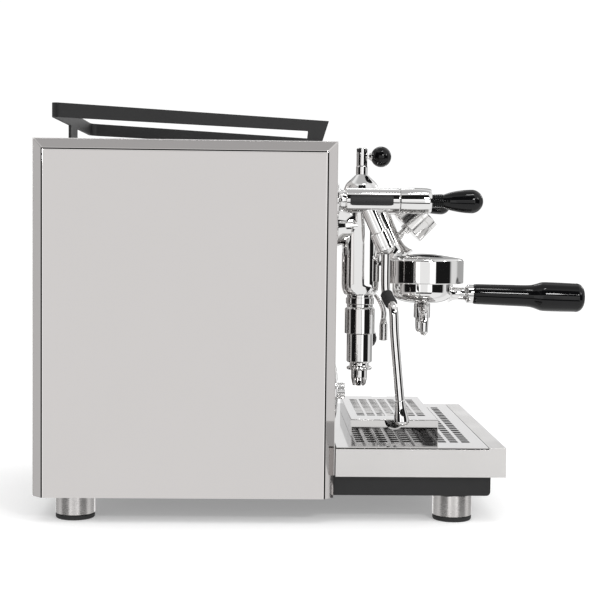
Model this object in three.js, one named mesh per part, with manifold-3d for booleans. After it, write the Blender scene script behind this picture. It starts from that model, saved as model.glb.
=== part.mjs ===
// Espresso machine with two boilers, a rotary pump and a lever-operated brew group.
// Units are millimetres. X runs to the user's right, -Y towards the user and +Z up. The origin is on
// the worktop, under the middle of the machine's width and of its length from back panel to handle tip.
// Sizes called "forward" or "u" are measured from the plane of the back panel towards the user.
import * as THREE from "three";
import { mergeVertices } from "three/addons/utils/BufferGeometryUtils.js";
import Module from "manifold-3d";

const wasm = await Module();
wasm.setup();

// ---------------------------------------------------------------- driving dimensions
const GAP = 0.3; // between pieces that touch
const RUN = 0.4; // round a piece that turns or slides
const SHEET = 1.5; // stainless sheet

const BODY_WIDTH = 340;
const BODY_DEPTH = 302.5;
const BODY_BOTTOM = 25.7;
const BODY_TOP = 382.7;
const CHAMFER = 10.3; // folded 45 degree edges of the side panels
const PANEL_HALF = BODY_WIDTH / 2 - CHAMFER - GAP; // half width of the panels between them

const PAD_HEIGHT = 4.7;
const FOOT_RADIUS = 20;
const FOOT_INSET = 20.2; // from the pan's side to a foot's axis
const FOOT_SETBACK = 36.2; // and from its ends
const TRAY_REACH = 172.5; // of the drip tray in front of the body
const PAN_BACK = 4;
const PAN_BOTTOM = 27.5;
const PAN_TOP = 47.3;
const PAN_SETBACK = 14; // behind the tray's front
const PAN_WALL = 2;
const PAN_HALF = PANEL_HALF - 1.4;
const PAN_FRONT = BODY_DEPTH + TRAY_REACH - PAN_SETBACK;

const TRAY_HALF = BODY_WIDTH / 2 - 4.5;
const TRAY_FRONT = BODY_DEPTH + TRAY_REACH;
const TRAY_BOTTOM = PAN_TOP + 0.5;
const TRAY_TOP = TRAY_BOTTOM + 29.9;
const TRAY_LIP = 17.2; // width of the strip along the tray's front edge
const TRAY_BACK = BODY_DEPTH + 0.8;

const RAIL_HALF = BODY_WIDTH / 2 - 17.5;
const RAIL_BACK = 16.7;
const RAIL_RISE = 35.7; // top of the rail above the body, at the back
const RAIL_FALL = 15.3; // and how much lower it is at the front
const RAIL_BAND = 14.6;
const RAIL_SHEET = 3;

const COLUMN = BODY_DEPTH + 35; // axis of the group's column
const COLUMN_RADIUS = 21.3;
const COLUMN_TOP = 336;
const CAP_HEIGHT = 18.7;
const CAM_HEIGHT = 250; // axis of the brew lever
const GROOVE_BOTTOM = 208.3; // lowest point of the column's casting
const SLEEVE_LENGTH = 29;
const LOWER_LENGTH = 31.7;

const BASKET_RADIUS = 30.2;
const BOWL_RADIUS = BASKET_RADIUS + 4.3;
const BELL = COLUMN + 69.5; // axis of the bell and the portafilter
const BELL_BOTTOM = 236;
const BELL_HEIGHT = 29.5;
const BELL_MOUTH = BOWL_RADIUS + 1.5;
const EAR_GROOVE = BELL_MOUTH + 4.6;
const BELL_RADIUS = EAR_GROOVE + 5.9;
const BOWL_BOTTOM = BELL_BOTTOM - 16;

const HANDLE_START = BELL + BOWL_RADIUS + 22.5;
const HANDLE_LENGTH = 124.6;
const HANDLE_HEIGHT = BOWL_BOTTOM + 3.9;
const HANDLE_DROOP = 0.026; // radians
const HANDLE_RADIUS = 16.3;

const VALVE_SIDE = 121; // the steam valve is this far left of the middle, the water valve right
const VALVE_HEIGHT = 325.2;
const VALVE_RADIUS = 12.6;
const VALVE_LENGTH = 55.3;
const VALVE_BACK = BODY_DEPTH + 10.2;
const VALVE_FRONT = VALVE_BACK + VALVE_LENGTH;
const COLLAR_LENGTH = 32.3;
const KNOB_PIVOT = VALVE_FRONT + 24;
const KNOB_REACH = 62; // from its pivot to its tip
const BALL_RADIUS = 7;
const BRANCH_TILT = (25 * Math.PI) / 180;
const BALL_FORWARD = VALVE_FRONT - 13.3;
const BALL_HEIGHT = VALVE_HEIGHT - 47.7;

const TANK_HALF = 112;
const TANK_BACK = 34;
const TANK_FRONT = 108;
const TANK_BOTTOM = 170;
const LID_MARGIN = 6;

const GAUGE_RADIUS = 21;
const GAUGE_LENGTH = 26.4;
const GAUGE_FORWARD = BELL - 18.3;
const GAUGE_HEIGHT = BELL_BOTTOM + BELL_HEIGHT + 31.1;

const DIAL_SIDE = -105;
const DIAL_HEIGHT = 127;

const LENGTH = HANDLE_START + HANDLE_LENGTH * Math.cos(HANDLE_DROOP);

// ---------------------------------------------------------------- solids
// A closed geometry as a solid, with its shared corners merged and its collapsed faces dropped.
function solid(geometry) {
  const bare = new THREE.BufferGeometry();
  bare.setAttribute("position", geometry.getAttribute("position"));
  bare.setIndex(geometry.index);
  const merged = mergeVertices(bare, 1e-4);
  const corners = merged.index.array;
  const faces = [];
  for (let i = 0; i < corners.length; i += 3) {
    const [a, b, c] = corners.slice(i, i + 3);
    if (a !== b && b !== c && c !== a) faces.push(a, b, c);
  }
  return new wasm.Manifold(
    new wasm.Mesh({
      numProp: 3,
      vertProperties: new Float32Array(merged.getAttribute("position").array),
      triVerts: new Uint32Array(faces),
    }),
  );
}

function geometryOf(made) {
  const mesh = made.getMesh();
  const geometry = new THREE.BufferGeometry();
  geometry.setAttribute("position", new THREE.BufferAttribute(mesh.vertProperties, 3));
  geometry.setIndex(new THREE.BufferAttribute(mesh.triVerts, 1));
  return geometry;
}

const join = (...pieces) => geometryOf(pieces.map(solid).reduce((a, b) => a.add(b)));
const cut = (piece, ...tools) =>
  geometryOf(tools.map(solid).reduce((a, b) => a.subtract(b), solid(piece)));
const common = (a, b) => geometryOf(solid(a).intersect(solid(b)));

// A block between two limits on each axis.
function block([x0, x1], [u0, u1], [z0, z1]) {
  const box = new THREE.BoxGeometry(x1 - x0, u1 - u0, z1 - z0);
  return box.translate((x0 + x1) / 2, -(u0 + u1) / 2, (z0 + z1) / 2);
}

// A block whose face at x0 has other limits than its face at x1.
function tapered(x0, [u0, u1], [z0, z1], x1, [v0, v1], [w0, w1]) {
  const box = new THREE.BoxGeometry(1, 1, 1);
  const place = box.getAttribute("position");
  for (let i = 0; i < place.count; i++) {
    const first = place.getX(i) < 0;
    const back = place.getY(i) > 0;
    const low = place.getZ(i) < 0;
    const u = first ? (back ? u0 : u1) : back ? v0 : v1;
    const z = first ? (low ? z0 : z1) : low ? w0 : w1;
    place.setXYZ(i, first ? x0 : x1, -u, z);
  }
  return box;
}

// A turned piece about +Z: [radius, height] pairs from the bottom up, outside of the metal on the right.
function turned(profile, segments = 20) {
  const points = profile.map(([r, z]) => new THREE.Vector2(r, z));
  return new THREE.LatheGeometry(points, segments).rotateX(Math.PI / 2);
}

// Stands a piece made about +Z on its axis at (x, u, z), leaning forward by an angle.
const stand = (piece, x, u, z = 0, lean = 0) => piece.rotateX(lean).translate(x, -u, z);
const FORWARD = Math.PI / 2;
const DOWN = Math.PI;

// A pin of one radius between two heights.
const pin = (radius, z0, z1, segments = 20) =>
  turned([[0, z0], [radius, z0], [radius, z1], [0, z1]], segments);

// A pin from one side to the other, along X.
const crosspin = (radius, x0, x1, u, z, segments = 16) =>
  pin(radius, x0, x1, segments).rotateY(Math.PI / 2).translate(0, -u, z);

// An arc of profile points about (r, z), from one angle to another in degrees.
function arc(r, z, radius, from, to, steps) {
  return Array.from({ length: steps + 1 }, (_, i) => {
    const angle = ((from + ((to - from) * i) / steps) * Math.PI) / 180;
    return [r + radius * Math.cos(angle), z + radius * Math.sin(angle)];
  });
}

// A side outline of [u, z] pairs, extruded from x0 to x1.
function slab(outline, x0, x1) {
  const shape = new THREE.Shape(outline.map(([u, z]) => new THREE.Vector2(-u, z)));
  const made = new THREE.ExtrudeGeometry(shape, { depth: x1 - x0, bevelEnabled: false });
  // The outline's plane becomes YZ and its depth becomes X.
  return made.applyMatrix4(new THREE.Matrix4().set(0, 0, 1, x0, 1, 0, 0, 0, 0, 1, 0, 0, 0, 0, 0, 1));
}

// A round bar along [u, z] points at one x, or [u, z, out] points that much further left.
function bar(points, x, radius, steps, sides = 8) {
  const corners = points.map(([u, z, out = 0]) => new THREE.Vector3(x - out, -u, z));
  const route = new THREE.CatmullRomCurve3(corners);
  const section = new THREE.Shape();
  section.absarc(0, 0, radius, 0, 2 * Math.PI);
  return new THREE.ExtrudeGeometry(section, {
    extrudePath: route,
    steps,
    curveSegments: sides / 2,
  });
}

// ---------------------------------------------------------------- materials and nodes
const finish = (color, roughness, metalness) =>
  new THREE.MeshStandardMaterial({ color, roughness, metalness });
const mirrorSteel = () => finish(0xcfcbc9, 0.12, 1);
const satinSteel = () => finish(0xc9c7c5, 0.35, 1);
const chrome = () => finish(0xdadada, 0.06, 1);
const brushedSteel = () => finish(0xa8a4a2, 0.4, 1);
const blackCoat = () => finish(0x29292a, 0.6, 0.2);
const blackGloss = () => finish(0x0b0b0c, 0.12, 0);
const rubber = () => finish(0x1b1b1c, 0.85, 0);

const machine = new THREE.Group();
machine.position.y = LENGTH / 2;

function add(name, geometry, material) {
  const mesh = new THREE.Mesh(geometry, material);
  mesh.name = name;
  machine.add(mesh);
  return mesh;
}

// ---------------------------------------------------------------- base pan and feet
function basePan() {
  const low = PAN_BOTTOM;
  const corner = 4;
  const round = arc(PAN_FRONT - corner, low + corner, corner, -90, 0, 4);
  const outline = [[PAN_BACK, PAN_TOP], [PAN_BACK, low], ...round, [PAN_FRONT, PAN_TOP]].reverse();
  const inside = block(
    [-PAN_HALF + PAN_WALL, PAN_HALF - PAN_WALL],
    [PAN_BACK + PAN_WALL, PAN_FRONT - PAN_WALL],
    [low + PAN_WALL, PAN_TOP + 1],
  );
  return cut(slab(outline, -PAN_HALF, PAN_HALF), inside);
}
add("base_frame", basePan(), blackCoat());

const footPlaces = [["front", PAN_FRONT - FOOT_SETBACK], ["rear", PAN_BACK + FOOT_SETBACK - 0.1]];
for (const [end, forward] of footPlaces) {
  for (const [side, sign] of [["left", -1], ["right", 1]]) {
    const low = PAD_HEIGHT + GAP;
    const high = PAN_BOTTOM - GAP;
    const r = FOOT_RADIUS;
    const foot = turned([[0, low], [r, low], [r, high], [0, high]], 24);
    const across = sign * (PAN_HALF - FOOT_INSET);
    add(`foot_${end}_${side}`, stand(foot, across, forward), brushedSteel());
    const soft = turned(
      [[0, 0], [r - 1.6, 0], [r - 0.2, 1.2], [r - 0.2, PAD_HEIGHT], [0, PAD_HEIGHT]],
      24,
    );
    add(`foot_pad_${end}_${side}`, stand(soft, across, forward), rubber());
  }
}

// ---------------------------------------------------------------- casing
function sidePanel() {
  const face = -BODY_WIDTH / 2;
  const shell = (inset, below) => {
    const edge = CHAMFER + inset * Math.SQRT2;
    return tapered(
      face + inset,
      [edge, BODY_DEPTH - edge],
      [BODY_BOTTOM - below, BODY_TOP - edge],
      face + edge - inset,
      [inset, BODY_DEPTH - inset],
      [BODY_BOTTOM - below, BODY_TOP - inset],
    );
  };
  const hollow = shell(SHEET, 1);
  const mouth = block(
    [face + CHAMFER * 0.9, face + CHAMFER + 1],
    [SHEET, BODY_DEPTH - SHEET],
    [BODY_BOTTOM - 1, BODY_TOP - SHEET],
  );
  return cut(shell(0, 0), hollow, mouth);
}
add("side_panel_left", sidePanel(), mirrorSteel());
add("side_panel_right", sidePanel().rotateZ(Math.PI).translate(0, -BODY_DEPTH, 0), mirrorSteel());

const FRONT_SHEET = 2;
const PIPE_RADIUS = 9;
const SHAFT_RADIUS = 4;
const NECK_RADIUS = 24;
const NECK_HEIGHT = 300;

function frontPanel() {
  const panel = block(
    [-PANEL_HALF, PANEL_HALF],
    [BODY_DEPTH - FRONT_SHEET, BODY_DEPTH],
    [PAN_TOP + 0.7, BODY_TOP - SHEET - GAP],
  );
  const hole = (radius, x, z) => stand(pin(radius, -5, 5), x, BODY_DEPTH, z, FORWARD);
  return cut(
    panel,
    hole(NECK_RADIUS + RUN, 0, NECK_HEIGHT),
    hole(PIPE_RADIUS + RUN, -VALVE_SIDE, VALVE_HEIGHT),
    hole(PIPE_RADIUS + RUN, VALVE_SIDE, VALVE_HEIGHT),
    hole(SHAFT_RADIUS + RUN, DIAL_SIDE, DIAL_HEIGHT),
  );
}
add("front_panel", frontPanel(), mirrorSteel());

const INLET = { x: BODY_WIDTH / 2 - 60, z: 75, half: 14, height: 11, depth: 26 };

const VENT = { rows: 9, pitch: 14, half: 90, height: 5, drop: 60.7 };

function backPanel() {
  const panel = block(
    [-PANEL_HALF, PANEL_HALF],
    [0, SHEET],
    [BODY_BOTTOM + 1, BODY_TOP - SHEET - GAP],
  );
  const slots = [];
  for (let row = 0; row < VENT.rows; row++) {
    const z = BODY_TOP - VENT.drop - row * VENT.pitch;
    slots.push(block([-VENT.half, VENT.half], [-1, SHEET + 1], [z, z + VENT.height]));
  }
  const opening = block(
    [INLET.x - INLET.half - GAP, INLET.x + INLET.half + GAP],
    [-1, SHEET + 1],
    [INLET.z - INLET.height - GAP, INLET.z + INLET.height + GAP],
  );
  return cut(panel, ...slots, opening);
}
add("back_panel", backPanel(), satinSteel());

function powerInlet() {
  const { x, z, half, height, depth } = INLET;
  const body = block([x - half, x + half], [0.5, depth], [z - height, z + height]);
  const well = block([x - half + 3, x + half - 3], [-1, depth - 8], [z - height + 3, z + height - 3]);
  const blade = (at) => block([x + at - 1, x + at + 1], [4, depth - 7], [z - 3, z + 3]);
  return join(cut(body, well), blade(-7), blade(0), blade(7));
}
add("power_inlet", powerInlet(), blackCoat());

// Slots either side of the middle, and where each row of them starts.
const WARMING = { columns: 6, pitch: 20, half: 2.5, length: 58, rows: [138, 212] };

// The top sheet, with warming slots at the front and an opening for the water tank behind them.
function cupTray() {
  const sheet = block([-PANEL_HALF, PANEL_HALF], [0, BODY_DEPTH], [BODY_TOP - SHEET, BODY_TOP]);
  const high = [BODY_TOP - SHEET - 1, BODY_TOP + 1];
  const opening = block(
    [-TANK_HALF - RUN - LID_MARGIN / 2, TANK_HALF + RUN + LID_MARGIN / 2],
    [TANK_BACK - RUN - LID_MARGIN / 2, TANK_FRONT + RUN + LID_MARGIN / 2],
    high,
  );
  const { columns, pitch, half, length, rows } = WARMING;
  const slots = [];
  for (let column = -columns; column <= columns; column++) {
    for (const back of rows) {
      slots.push(block([column * pitch - half, column * pitch + half], [back, back + length], high));
    }
  }
  return cut(sheet, opening, ...slots);
}
add("cup_tray", cupTray(), satinSteel());

// A flat band bent round the back of the cup tray, sloping down to two slanted legs at the front.
function cupRail() {
  const top = BODY_TOP + RAIL_RISE;
  const front = BODY_DEPTH - 9.4;
  const stands = BODY_TOP + GAP;
  const side = slab(
    [
      [RAIL_BACK, top],
      [front, top - RAIL_FALL],
      [front - 6.3, stands],
      [front - 21.8, stands],
      [front - 20.9, stands + 9.9],
      [RAIL_BACK, top - RAIL_BAND],
    ].reverse(),
    -RAIL_HALF - 1,
    RAIL_HALF + 1,
  );
  const corner = 10;
  const plan = new THREE.Shape();
  const loop = (half, back, radius, ahead) => {
    const points = [new THREE.Vector2(-half, -front - 1)];
    for (const [x, from] of [[-half + radius, 180], [half - radius, 90]]) {
      arc(x, -back - radius, radius, from, from - 90, 5).forEach(([a, b]) =>
        points.push(new THREE.Vector2(a, b)),
      );
    }
    points.push(new THREE.Vector2(half, -front - 1));
    return ahead ? points : points.reverse();
  };
  plan.setFromPoints([
    ...loop(RAIL_HALF, RAIL_BACK, corner, true),
    ...loop(RAIL_HALF - RAIL_SHEET, RAIL_BACK + RAIL_SHEET, corner - RAIL_SHEET, false),
  ]);
  const band = new THREE.ExtrudeGeometry(plan, { depth: 60, bevelEnabled: false });
  const tab = block([-26, 26], [RAIL_BACK, RAIL_BACK + RAIL_SHEET], [stands, top - RAIL_BAND + 1]);
  return join(common(band.translate(0, 0, BODY_TOP - 5), side), tab);
}
add("cup_rail", cupRail(), blackCoat());

// ---------------------------------------------------------------- water tank
const LID_THICK = 6;

function waterTank() {
  const top = BODY_TOP - SHEET - 3;
  const wall = 3;
  const outer = block([-TANK_HALF, TANK_HALF], [TANK_BACK, TANK_FRONT], [TANK_BOTTOM, top]);
  const inner = block(
    [-TANK_HALF + wall, TANK_HALF - wall],
    [TANK_BACK + wall, TANK_FRONT - wall],
    [TANK_BOTTOM + wall, top + 1],
  );
  return cut(outer, inner);
}
add("water_tank", waterTank(), finish(0xdfe6e8, 0.15, 0));

function tankLid() {
  const m = LID_MARGIN;
  const plate = block(
    [-TANK_HALF - m, TANK_HALF + m],
    [TANK_BACK - m, TANK_FRONT + m],
    [BODY_TOP + GAP, BODY_TOP + GAP + 2],
  );
  const plug = block(
    [-TANK_HALF + LID_THICK, TANK_HALF - LID_THICK],
    [TANK_BACK + LID_THICK, TANK_FRONT - LID_THICK],
    [BODY_TOP - LID_THICK, BODY_TOP + 1],
  );
  const grip = stand(pin(9, BODY_TOP + 1, BODY_TOP + 9), 0, (TANK_BACK + TANK_FRONT) / 2);
  return join(plate, plug, grip);
}
add("tank_lid", tankLid(), satinSteel());

// ---------------------------------------------------------------- inside the casing
const FLOOR = PAN_BOTTOM + 2 + GAP;

// A domed boiler with a port in its top, on three legs that stand on the pan.
function boiler({ radius, low, high }) {
  const wall = 2;
  const dome = 14;
  const port = 6;
  const shell = turned([
    [0, low - dome],
    [radius, low],
    [radius, high],
    [port, high + dome],
    [port, high + dome - wall],
    [radius - wall, high],
    [radius - wall, low],
    [0, low - dome + wall],
  ]);
  const feet = [90, 210, 330].map((angle) => {
    const a = (angle * Math.PI) / 180;
    const leg = pin(5, FLOOR, low + 12, 8);
    return leg.translate((radius - 2) * Math.cos(a), (radius - 2) * Math.sin(a), 0);
  });
  return join(shell, ...feet);
}

const STEAM_BOILER = { x: 82 - BODY_WIDTH / 2, u: 205, radius: 56, low: 145, high: 285 };
const BREW_BOILER = { x: BODY_WIDTH / 2 - 108, u: 232, radius: 40, low: 185, high: 285 };
for (const [name, made] of [["steam_boiler", STEAM_BOILER], ["brew_boiler", BREW_BOILER]]) {
  add(name, stand(boiler(made), made.x, made.u), brushedSteel());
}

const MOTOR = { u: 80, z: 82, radius: 42, left: 40 - BODY_WIDTH / 2, right: 164 - BODY_WIDTH / 2, pump: 58 };

function pumpMotor() {
  const { u, z, radius, left, right } = MOTOR;
  const body = crosspin(radius, left, right, u, z, 24);
  const cradle = block([left + 20, right - 20], [u - 30, u + 30], [FLOOR, z]);
  return join(body, cradle);
}
add("pump_motor", pumpMotor(), finish(0x5a5d60, 0.5, 0.6));

function rotaryPump() {
  const { u, z, right, pump } = MOTOR;
  const head = crosspin(28, right + GAP, right + pump, u, z, 20);
  const ports = block([right + 22, right + 40], [u - 40, u + 40], [z - 8, z + 8]);
  return join(head, ports);
}
add("rotary_pump", rotaryPump(), finish(0xb08d4a, 0.35, 1));

const BOX = { right: BODY_WIDTH / 2 - 25, left: BODY_WIDTH / 2 - 95, back: 60, front: 180 };

// An open box with its circuit board on a ledge inside.
function controlBox() {
  const { left, right, back, front } = BOX;
  const top = 130;
  const wall = 2;
  const shell = block([left, right], [back, front], [FLOOR, top]);
  const inside = block([left + wall, right - wall], [back + wall, front - wall], [FLOOR + wall, top + 1]);
  const board = block([left + 1, right - 1], [back + 10, front - 10], [FLOOR + 10, FLOOR + 12]);
  return join(cut(shell, inside), board);
}
add("control_box", controlBox(), finish(0x8c8f92, 0.5, 0.8));

// ---------------------------------------------------------------- brew group
const GROOVE_RADIUS = 15;
const SHOULDER = GROOVE_BOTTOM + 13.7;
const BELL_CEILING = BELL_BOTTOM + 26;
const BELL_TOP = BELL_BOTTOM + BELL_HEIGHT;
const EAR_WIDTH = 18;
const EAR_LOW = BELL_BOTTOM + 8;
const EAR_HIGH = EAR_LOW + 6;
const UNLOCK = Math.PI / 3; // the portafilter leaves the bell when turned this far
const ARM_TOP = [COLUMN + 14.5, 318];
const ARM_BOTTOM = [BELL - 29.8, BELL_TOP - 3.5];
const ARM_RADIUS = 14;
const CAM_RADIUS = 9;
const STEM_RADIUS = 4.5;
const STEM_LENGTH = 14;
const GAUGE_LEAN = Math.PI / 4;

function groupBody() {
  const column = turned([
    [0, GROOVE_BOTTOM],
    [GROOVE_RADIUS, GROOVE_BOTTOM],
    [GROOVE_RADIUS, SHOULDER],
    [COLUMN_RADIUS - 2, SHOULDER + 6],
    [COLUMN_RADIUS, SHOULDER + 13],
    [COLUMN_RADIUS, COLUMN_TOP - 12],
    [COLUMN_RADIUS - 2, COLUMN_TOP],
    [0, COLUMN_TOP],
  ]);
  const neck = turned([
    [0, -18],
    [NECK_RADIUS, -18],
    [NECK_RADIUS, GAP],
    [NECK_RADIUS + 12, GAP],
    [NECK_RADIUS + 12, 5],
    [NECK_RADIUS, 8],
    [NECK_RADIUS - 4, 30],
    [0, 30],
  ]);
  const [backEnd, topEnd] = ARM_TOP;
  const run = ARM_BOTTOM[0] - backEnd;
  const fall = topEnd - ARM_BOTTOM[1];
  const arm = turned([
    [0, -ARM_RADIUS * 0.9],
    [ARM_RADIUS * 0.7, -ARM_RADIUS * 0.6],
    [ARM_RADIUS, 0],
    [ARM_RADIUS, Math.hypot(run, fall)],
    [0, Math.hypot(run, fall)],
  ]);
  const bell = turned(
    [
      [0, BELL_CEILING],
      [BELL_MOUTH, BELL_CEILING],
      [BELL_MOUTH, EAR_HIGH + 2],
      [EAR_GROOVE, EAR_HIGH + 2],
      [EAR_GROOVE, EAR_LOW - 1],
      [BELL_MOUTH, EAR_LOW - 1],
      [BELL_MOUTH, BELL_BOTTOM],
      [BELL_RADIUS - 1, BELL_BOTTOM],
      [BELL_RADIUS, BELL_BOTTOM + 1],
      ...arc(BELL_RADIUS - 7, BELL_TOP - 7, 7, 0, 80, 4),
      [16, BELL_TOP + 3.3],
      [0, BELL_TOP + 4],
    ],
    28,
  );
  const notch = (turn) => {
    const half = EAR_WIDTH / 2 + 1;
    const gate = block([BELL_MOUTH - 3, EAR_GROOVE], [-half, half], [BELL_BOTTOM - 1, EAR_LOW]);
    return gate.rotateZ(turn).translate(0, -BELL, 0);
  };
  const gaugeBore = stand(
    pin(STEM_RADIUS + GAP, -STEM_LENGTH - GAP, 0),
    0,
    GAUGE_FORWARD,
    GAUGE_HEIGHT,
    GAUGE_LEAN,
  );
  const camBore = crosspin(CAM_RADIUS + RUN, 8, 40, COLUMN, CAM_HEIGHT);
  const whole = join(
    stand(column, 0, COLUMN),
    stand(neck, 0, BODY_DEPTH, NECK_HEIGHT, FORWARD),
    stand(arm, 0, backEnd, topEnd, DOWN - Math.atan2(run, fall)),
    stand(bell, 0, BELL),
  );
  return cut(whole, notch(-UNLOCK), notch(Math.PI - UNLOCK), gaugeBore, camBore);
}
add("group_body", groupBody(), chrome());

function mushroomCap() {
  const low = COLUMN_TOP + GAP;
  const r = COLUMN_RADIUS - 1.3;
  const top = COLUMN_TOP + CAP_HEIGHT;
  const profile = [[0, low], [r, low], [r - 0.5, top - 14.2], [r - 1.4, top - 11.2], [r - 4.3, top - 7.7]];
  profile.push([r - 12.4, top], [0, top]);
  return stand(turned(profile), 0, COLUMN);
}
add("mushroom_cap", mushroomCap(), chrome());

const SLEEVE_BOTTOM = GROOVE_BOTTOM - GAP - SLEEVE_LENGTH;
const LOWER_BOTTOM = SLEEVE_BOTTOM - GAP - LOWER_LENGTH;
const SLEEVE_RADIUS = GROOVE_RADIUS + 2.2;
const LOWER_RADIUS = SLEEVE_RADIUS - 2.5;
const DISC_BOTTOM = LOWER_BOTTOM - 8.5;

function upperSleeve() {
  const high = GROOVE_BOTTOM - GAP;
  const r = SLEEVE_RADIUS;
  const profile = [[0, SLEEVE_BOTTOM], [r, SLEEVE_BOTTOM], [r, high - 1], [r - 1, high], [0, high]];
  return stand(turned(profile), 0, COLUMN);
}
add("upper_sleeve", upperSleeve(), chrome());

function lowerSleeve() {
  const high = SLEEVE_BOTTOM - GAP;
  const r = LOWER_RADIUS;
  const profile = [
    [0, DISC_BOTTOM],
    [r - 0.7, DISC_BOTTOM],
    [r - 0.1, DISC_BOTTOM + 1.5],
    [r - 0.7, DISC_BOTTOM + 3.5],
    [r - 3.7, DISC_BOTTOM + 4.5],
    [r - 3.7, LOWER_BOTTOM - 1],
    [r - 0.5, LOWER_BOTTOM],
    [r, LOWER_BOTTOM + 1],
    [r, high],
    [0, high],
  ];
  return stand(turned(profile), 0, COLUMN);
}
add("lower_sleeve", lowerSleeve(), chrome());

function drainNozzle() {
  const r = 9.3;
  const low = DISC_BOTTOM - 18;
  const high = DISC_BOTTOM - GAP;
  const profile = [[0, low], [r - 2.1, low], [r, low + 9.2], [r, high], [0, high]];
  return stand(turned(profile, 24), 0, COLUMN);
}
add("drain_nozzle", drainNozzle(), chrome());

const SCREEN_LOW = BELL_CEILING - 7.7;

function showerScreen() {
  const r = BASKET_RADIUS - 1.9;
  const top = BELL_CEILING - GAP;
  const profile = [
    [0, SCREEN_LOW],
    [r, SCREEN_LOW],
    [r, SCREEN_LOW + 4],
    [r - 1, SCREEN_LOW + 4],
    [r - 1, SCREEN_LOW + 1],
    [6, SCREEN_LOW + 1],
    [6, top],
    [0, top],
  ];
  return stand(turned(profile), 0, BELL);
}
add("shower_screen", showerScreen(), satinSteel());

// ---------------------------------------------------------------- flow control on the cap
const POST_LOW = COLUMN_TOP + CAP_HEIGHT + GAP;
const POST_RADIUS = 6.65;
const POST_TOP = POST_LOW + 30;
const PADDLE_REACH = 21.2;
const PADDLE_HEIGHT = POST_TOP - 9.6;
const PADDLE_RADIUS = 11.5;

const post = turned(
  [[0, POST_LOW], [POST_RADIUS, POST_LOW], ...arc(POST_RADIUS - 2, POST_TOP - 2, 2, 0, 90, 2), [0, POST_TOP]],
  20,
);
add("flow_control_post", stand(post, 0, COLUMN), chrome());

function flowBall() {
  const start = POST_RADIUS + GAP - PADDLE_REACH;
  const profile = [[0, start], [3, start], [4.5, -10], ...arc(0, 0, PADDLE_RADIUS, -60, 90, 7)];
  return stand(turned(profile, 16), 0, COLUMN + PADDLE_REACH, PADDLE_HEIGHT, FORWARD);
}
add("flow_control_ball", flowBall(), blackGloss());

// ---------------------------------------------------------------- brew pressure gauge
const GLASS_DEPTH = 2.4; // from the rim down to the glass
const FACE_DEPTH = 7;
const GAUGE_WALL = 2.1;
const place = (piece) => stand(piece, 0, GAUGE_FORWARD, GAUGE_HEIGHT, GAUGE_LEAN);

const gaugeCase = turned(
  [
    [0, -STEM_LENGTH],
    [STEM_RADIUS, -STEM_LENGTH],
    [STEM_RADIUS, 0],
    [GAUGE_RADIUS, 0],
    [GAUGE_RADIUS, GAUGE_LENGTH],
    [GAUGE_RADIUS - GAUGE_WALL, GAUGE_LENGTH],
    [GAUGE_RADIUS - GAUGE_WALL, GAUGE_LENGTH - FACE_DEPTH],
    [0, GAUGE_LENGTH - FACE_DEPTH],
  ],
  24,
);
add("gauge_case", place(gaugeCase), brushedSteel());

const lens = pin(
  GAUGE_RADIUS - GAUGE_WALL - GAP,
  GAUGE_LENGTH - GLASS_DEPTH,
  GAUGE_LENGTH - GLASS_DEPTH + 1.6,
  24,
);
add("gauge_lens", place(lens), finish(0xf4f8fa, 0.05, 0));

function gaugeNeedle() {
  const low = GAUGE_LENGTH - FACE_DEPTH + 0.8;
  const blade = new THREE.Shape();
  blade.setFromPoints([[-1, -4], [1, -4], [0.4, 14], [-0.4, 14]].map(([x, y]) => new THREE.Vector2(x, y)));
  const pointer = new THREE.ExtrudeGeometry(blade, { depth: 0.8, bevelEnabled: false });
  const zero = (3 * Math.PI) / 4; // lower left of the dial
  return join(pointer.rotateZ(zero).translate(0, 0, low), pin(2.4, low, low + 1.6, 12));
}
add("gauge_needle", place(gaugeNeedle()), finish(0x111111, 0.5, 0));

// ---------------------------------------------------------------- brew lever
const LEVER_SIDE = BELL_RADIUS + 12.5; // clears the bell as the lever swings up beside it
const LEVER_END = [COLUMN + 8.5, CAM_HEIGHT - 54]; // where the rod enters its knob
const LEVER_KNOB_LENGTH = 40;
const LEVER_ROD = 4;

function leverTilt() {
  return Math.atan2(LEVER_END[0] - COLUMN, CAM_HEIGHT - LEVER_END[1]);
}

function brewLever() {
  const cam = crosspin(CAM_RADIUS, 10, LEVER_SIDE + 6, COLUMN, CAM_HEIGHT, 20);
  const boss = crosspin(CAM_RADIUS + 3, COLUMN_RADIUS + 1, COLUMN_RADIUS + 12, COLUMN, CAM_HEIGHT, 20);
  const length = Math.hypot(LEVER_END[0] - COLUMN, CAM_HEIGHT - LEVER_END[1]);
  const rod = stand(pin(LEVER_ROD, 0, length + 12, 12), LEVER_SIDE, COLUMN, CAM_HEIGHT, DOWN - leverTilt());
  return join(cam, boss, rod);
}
add("brew_lever", brewLever(), chrome());

function leverKnob() {
  const profile = [
    [LEVER_ROD + GAP, 0],
    [7, 0],
    [8, 3],
    ...arc(0, LEVER_KNOB_LENGTH - 11.5, 11.5, 0, 90, 4),
    [0, 14],
    [LEVER_ROD + GAP, 14],
    [LEVER_ROD + GAP, 0],
  ];
  return stand(turned(profile, 16), LEVER_SIDE, ...LEVER_END, DOWN - leverTilt());
}
add("brew_lever_knob", leverKnob(), blackGloss());

// ---------------------------------------------------------------- portafilter
const RIM_TOP = BELL_BOTTOM + 16;
const BORE_BOTTOM = BOWL_BOTTOM + 6.5;
const BORE_RADIUS = BASKET_RADIUS + 0.6;
const STUD_RADIUS = 4;
const STUD_LENGTH = 28;

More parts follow.
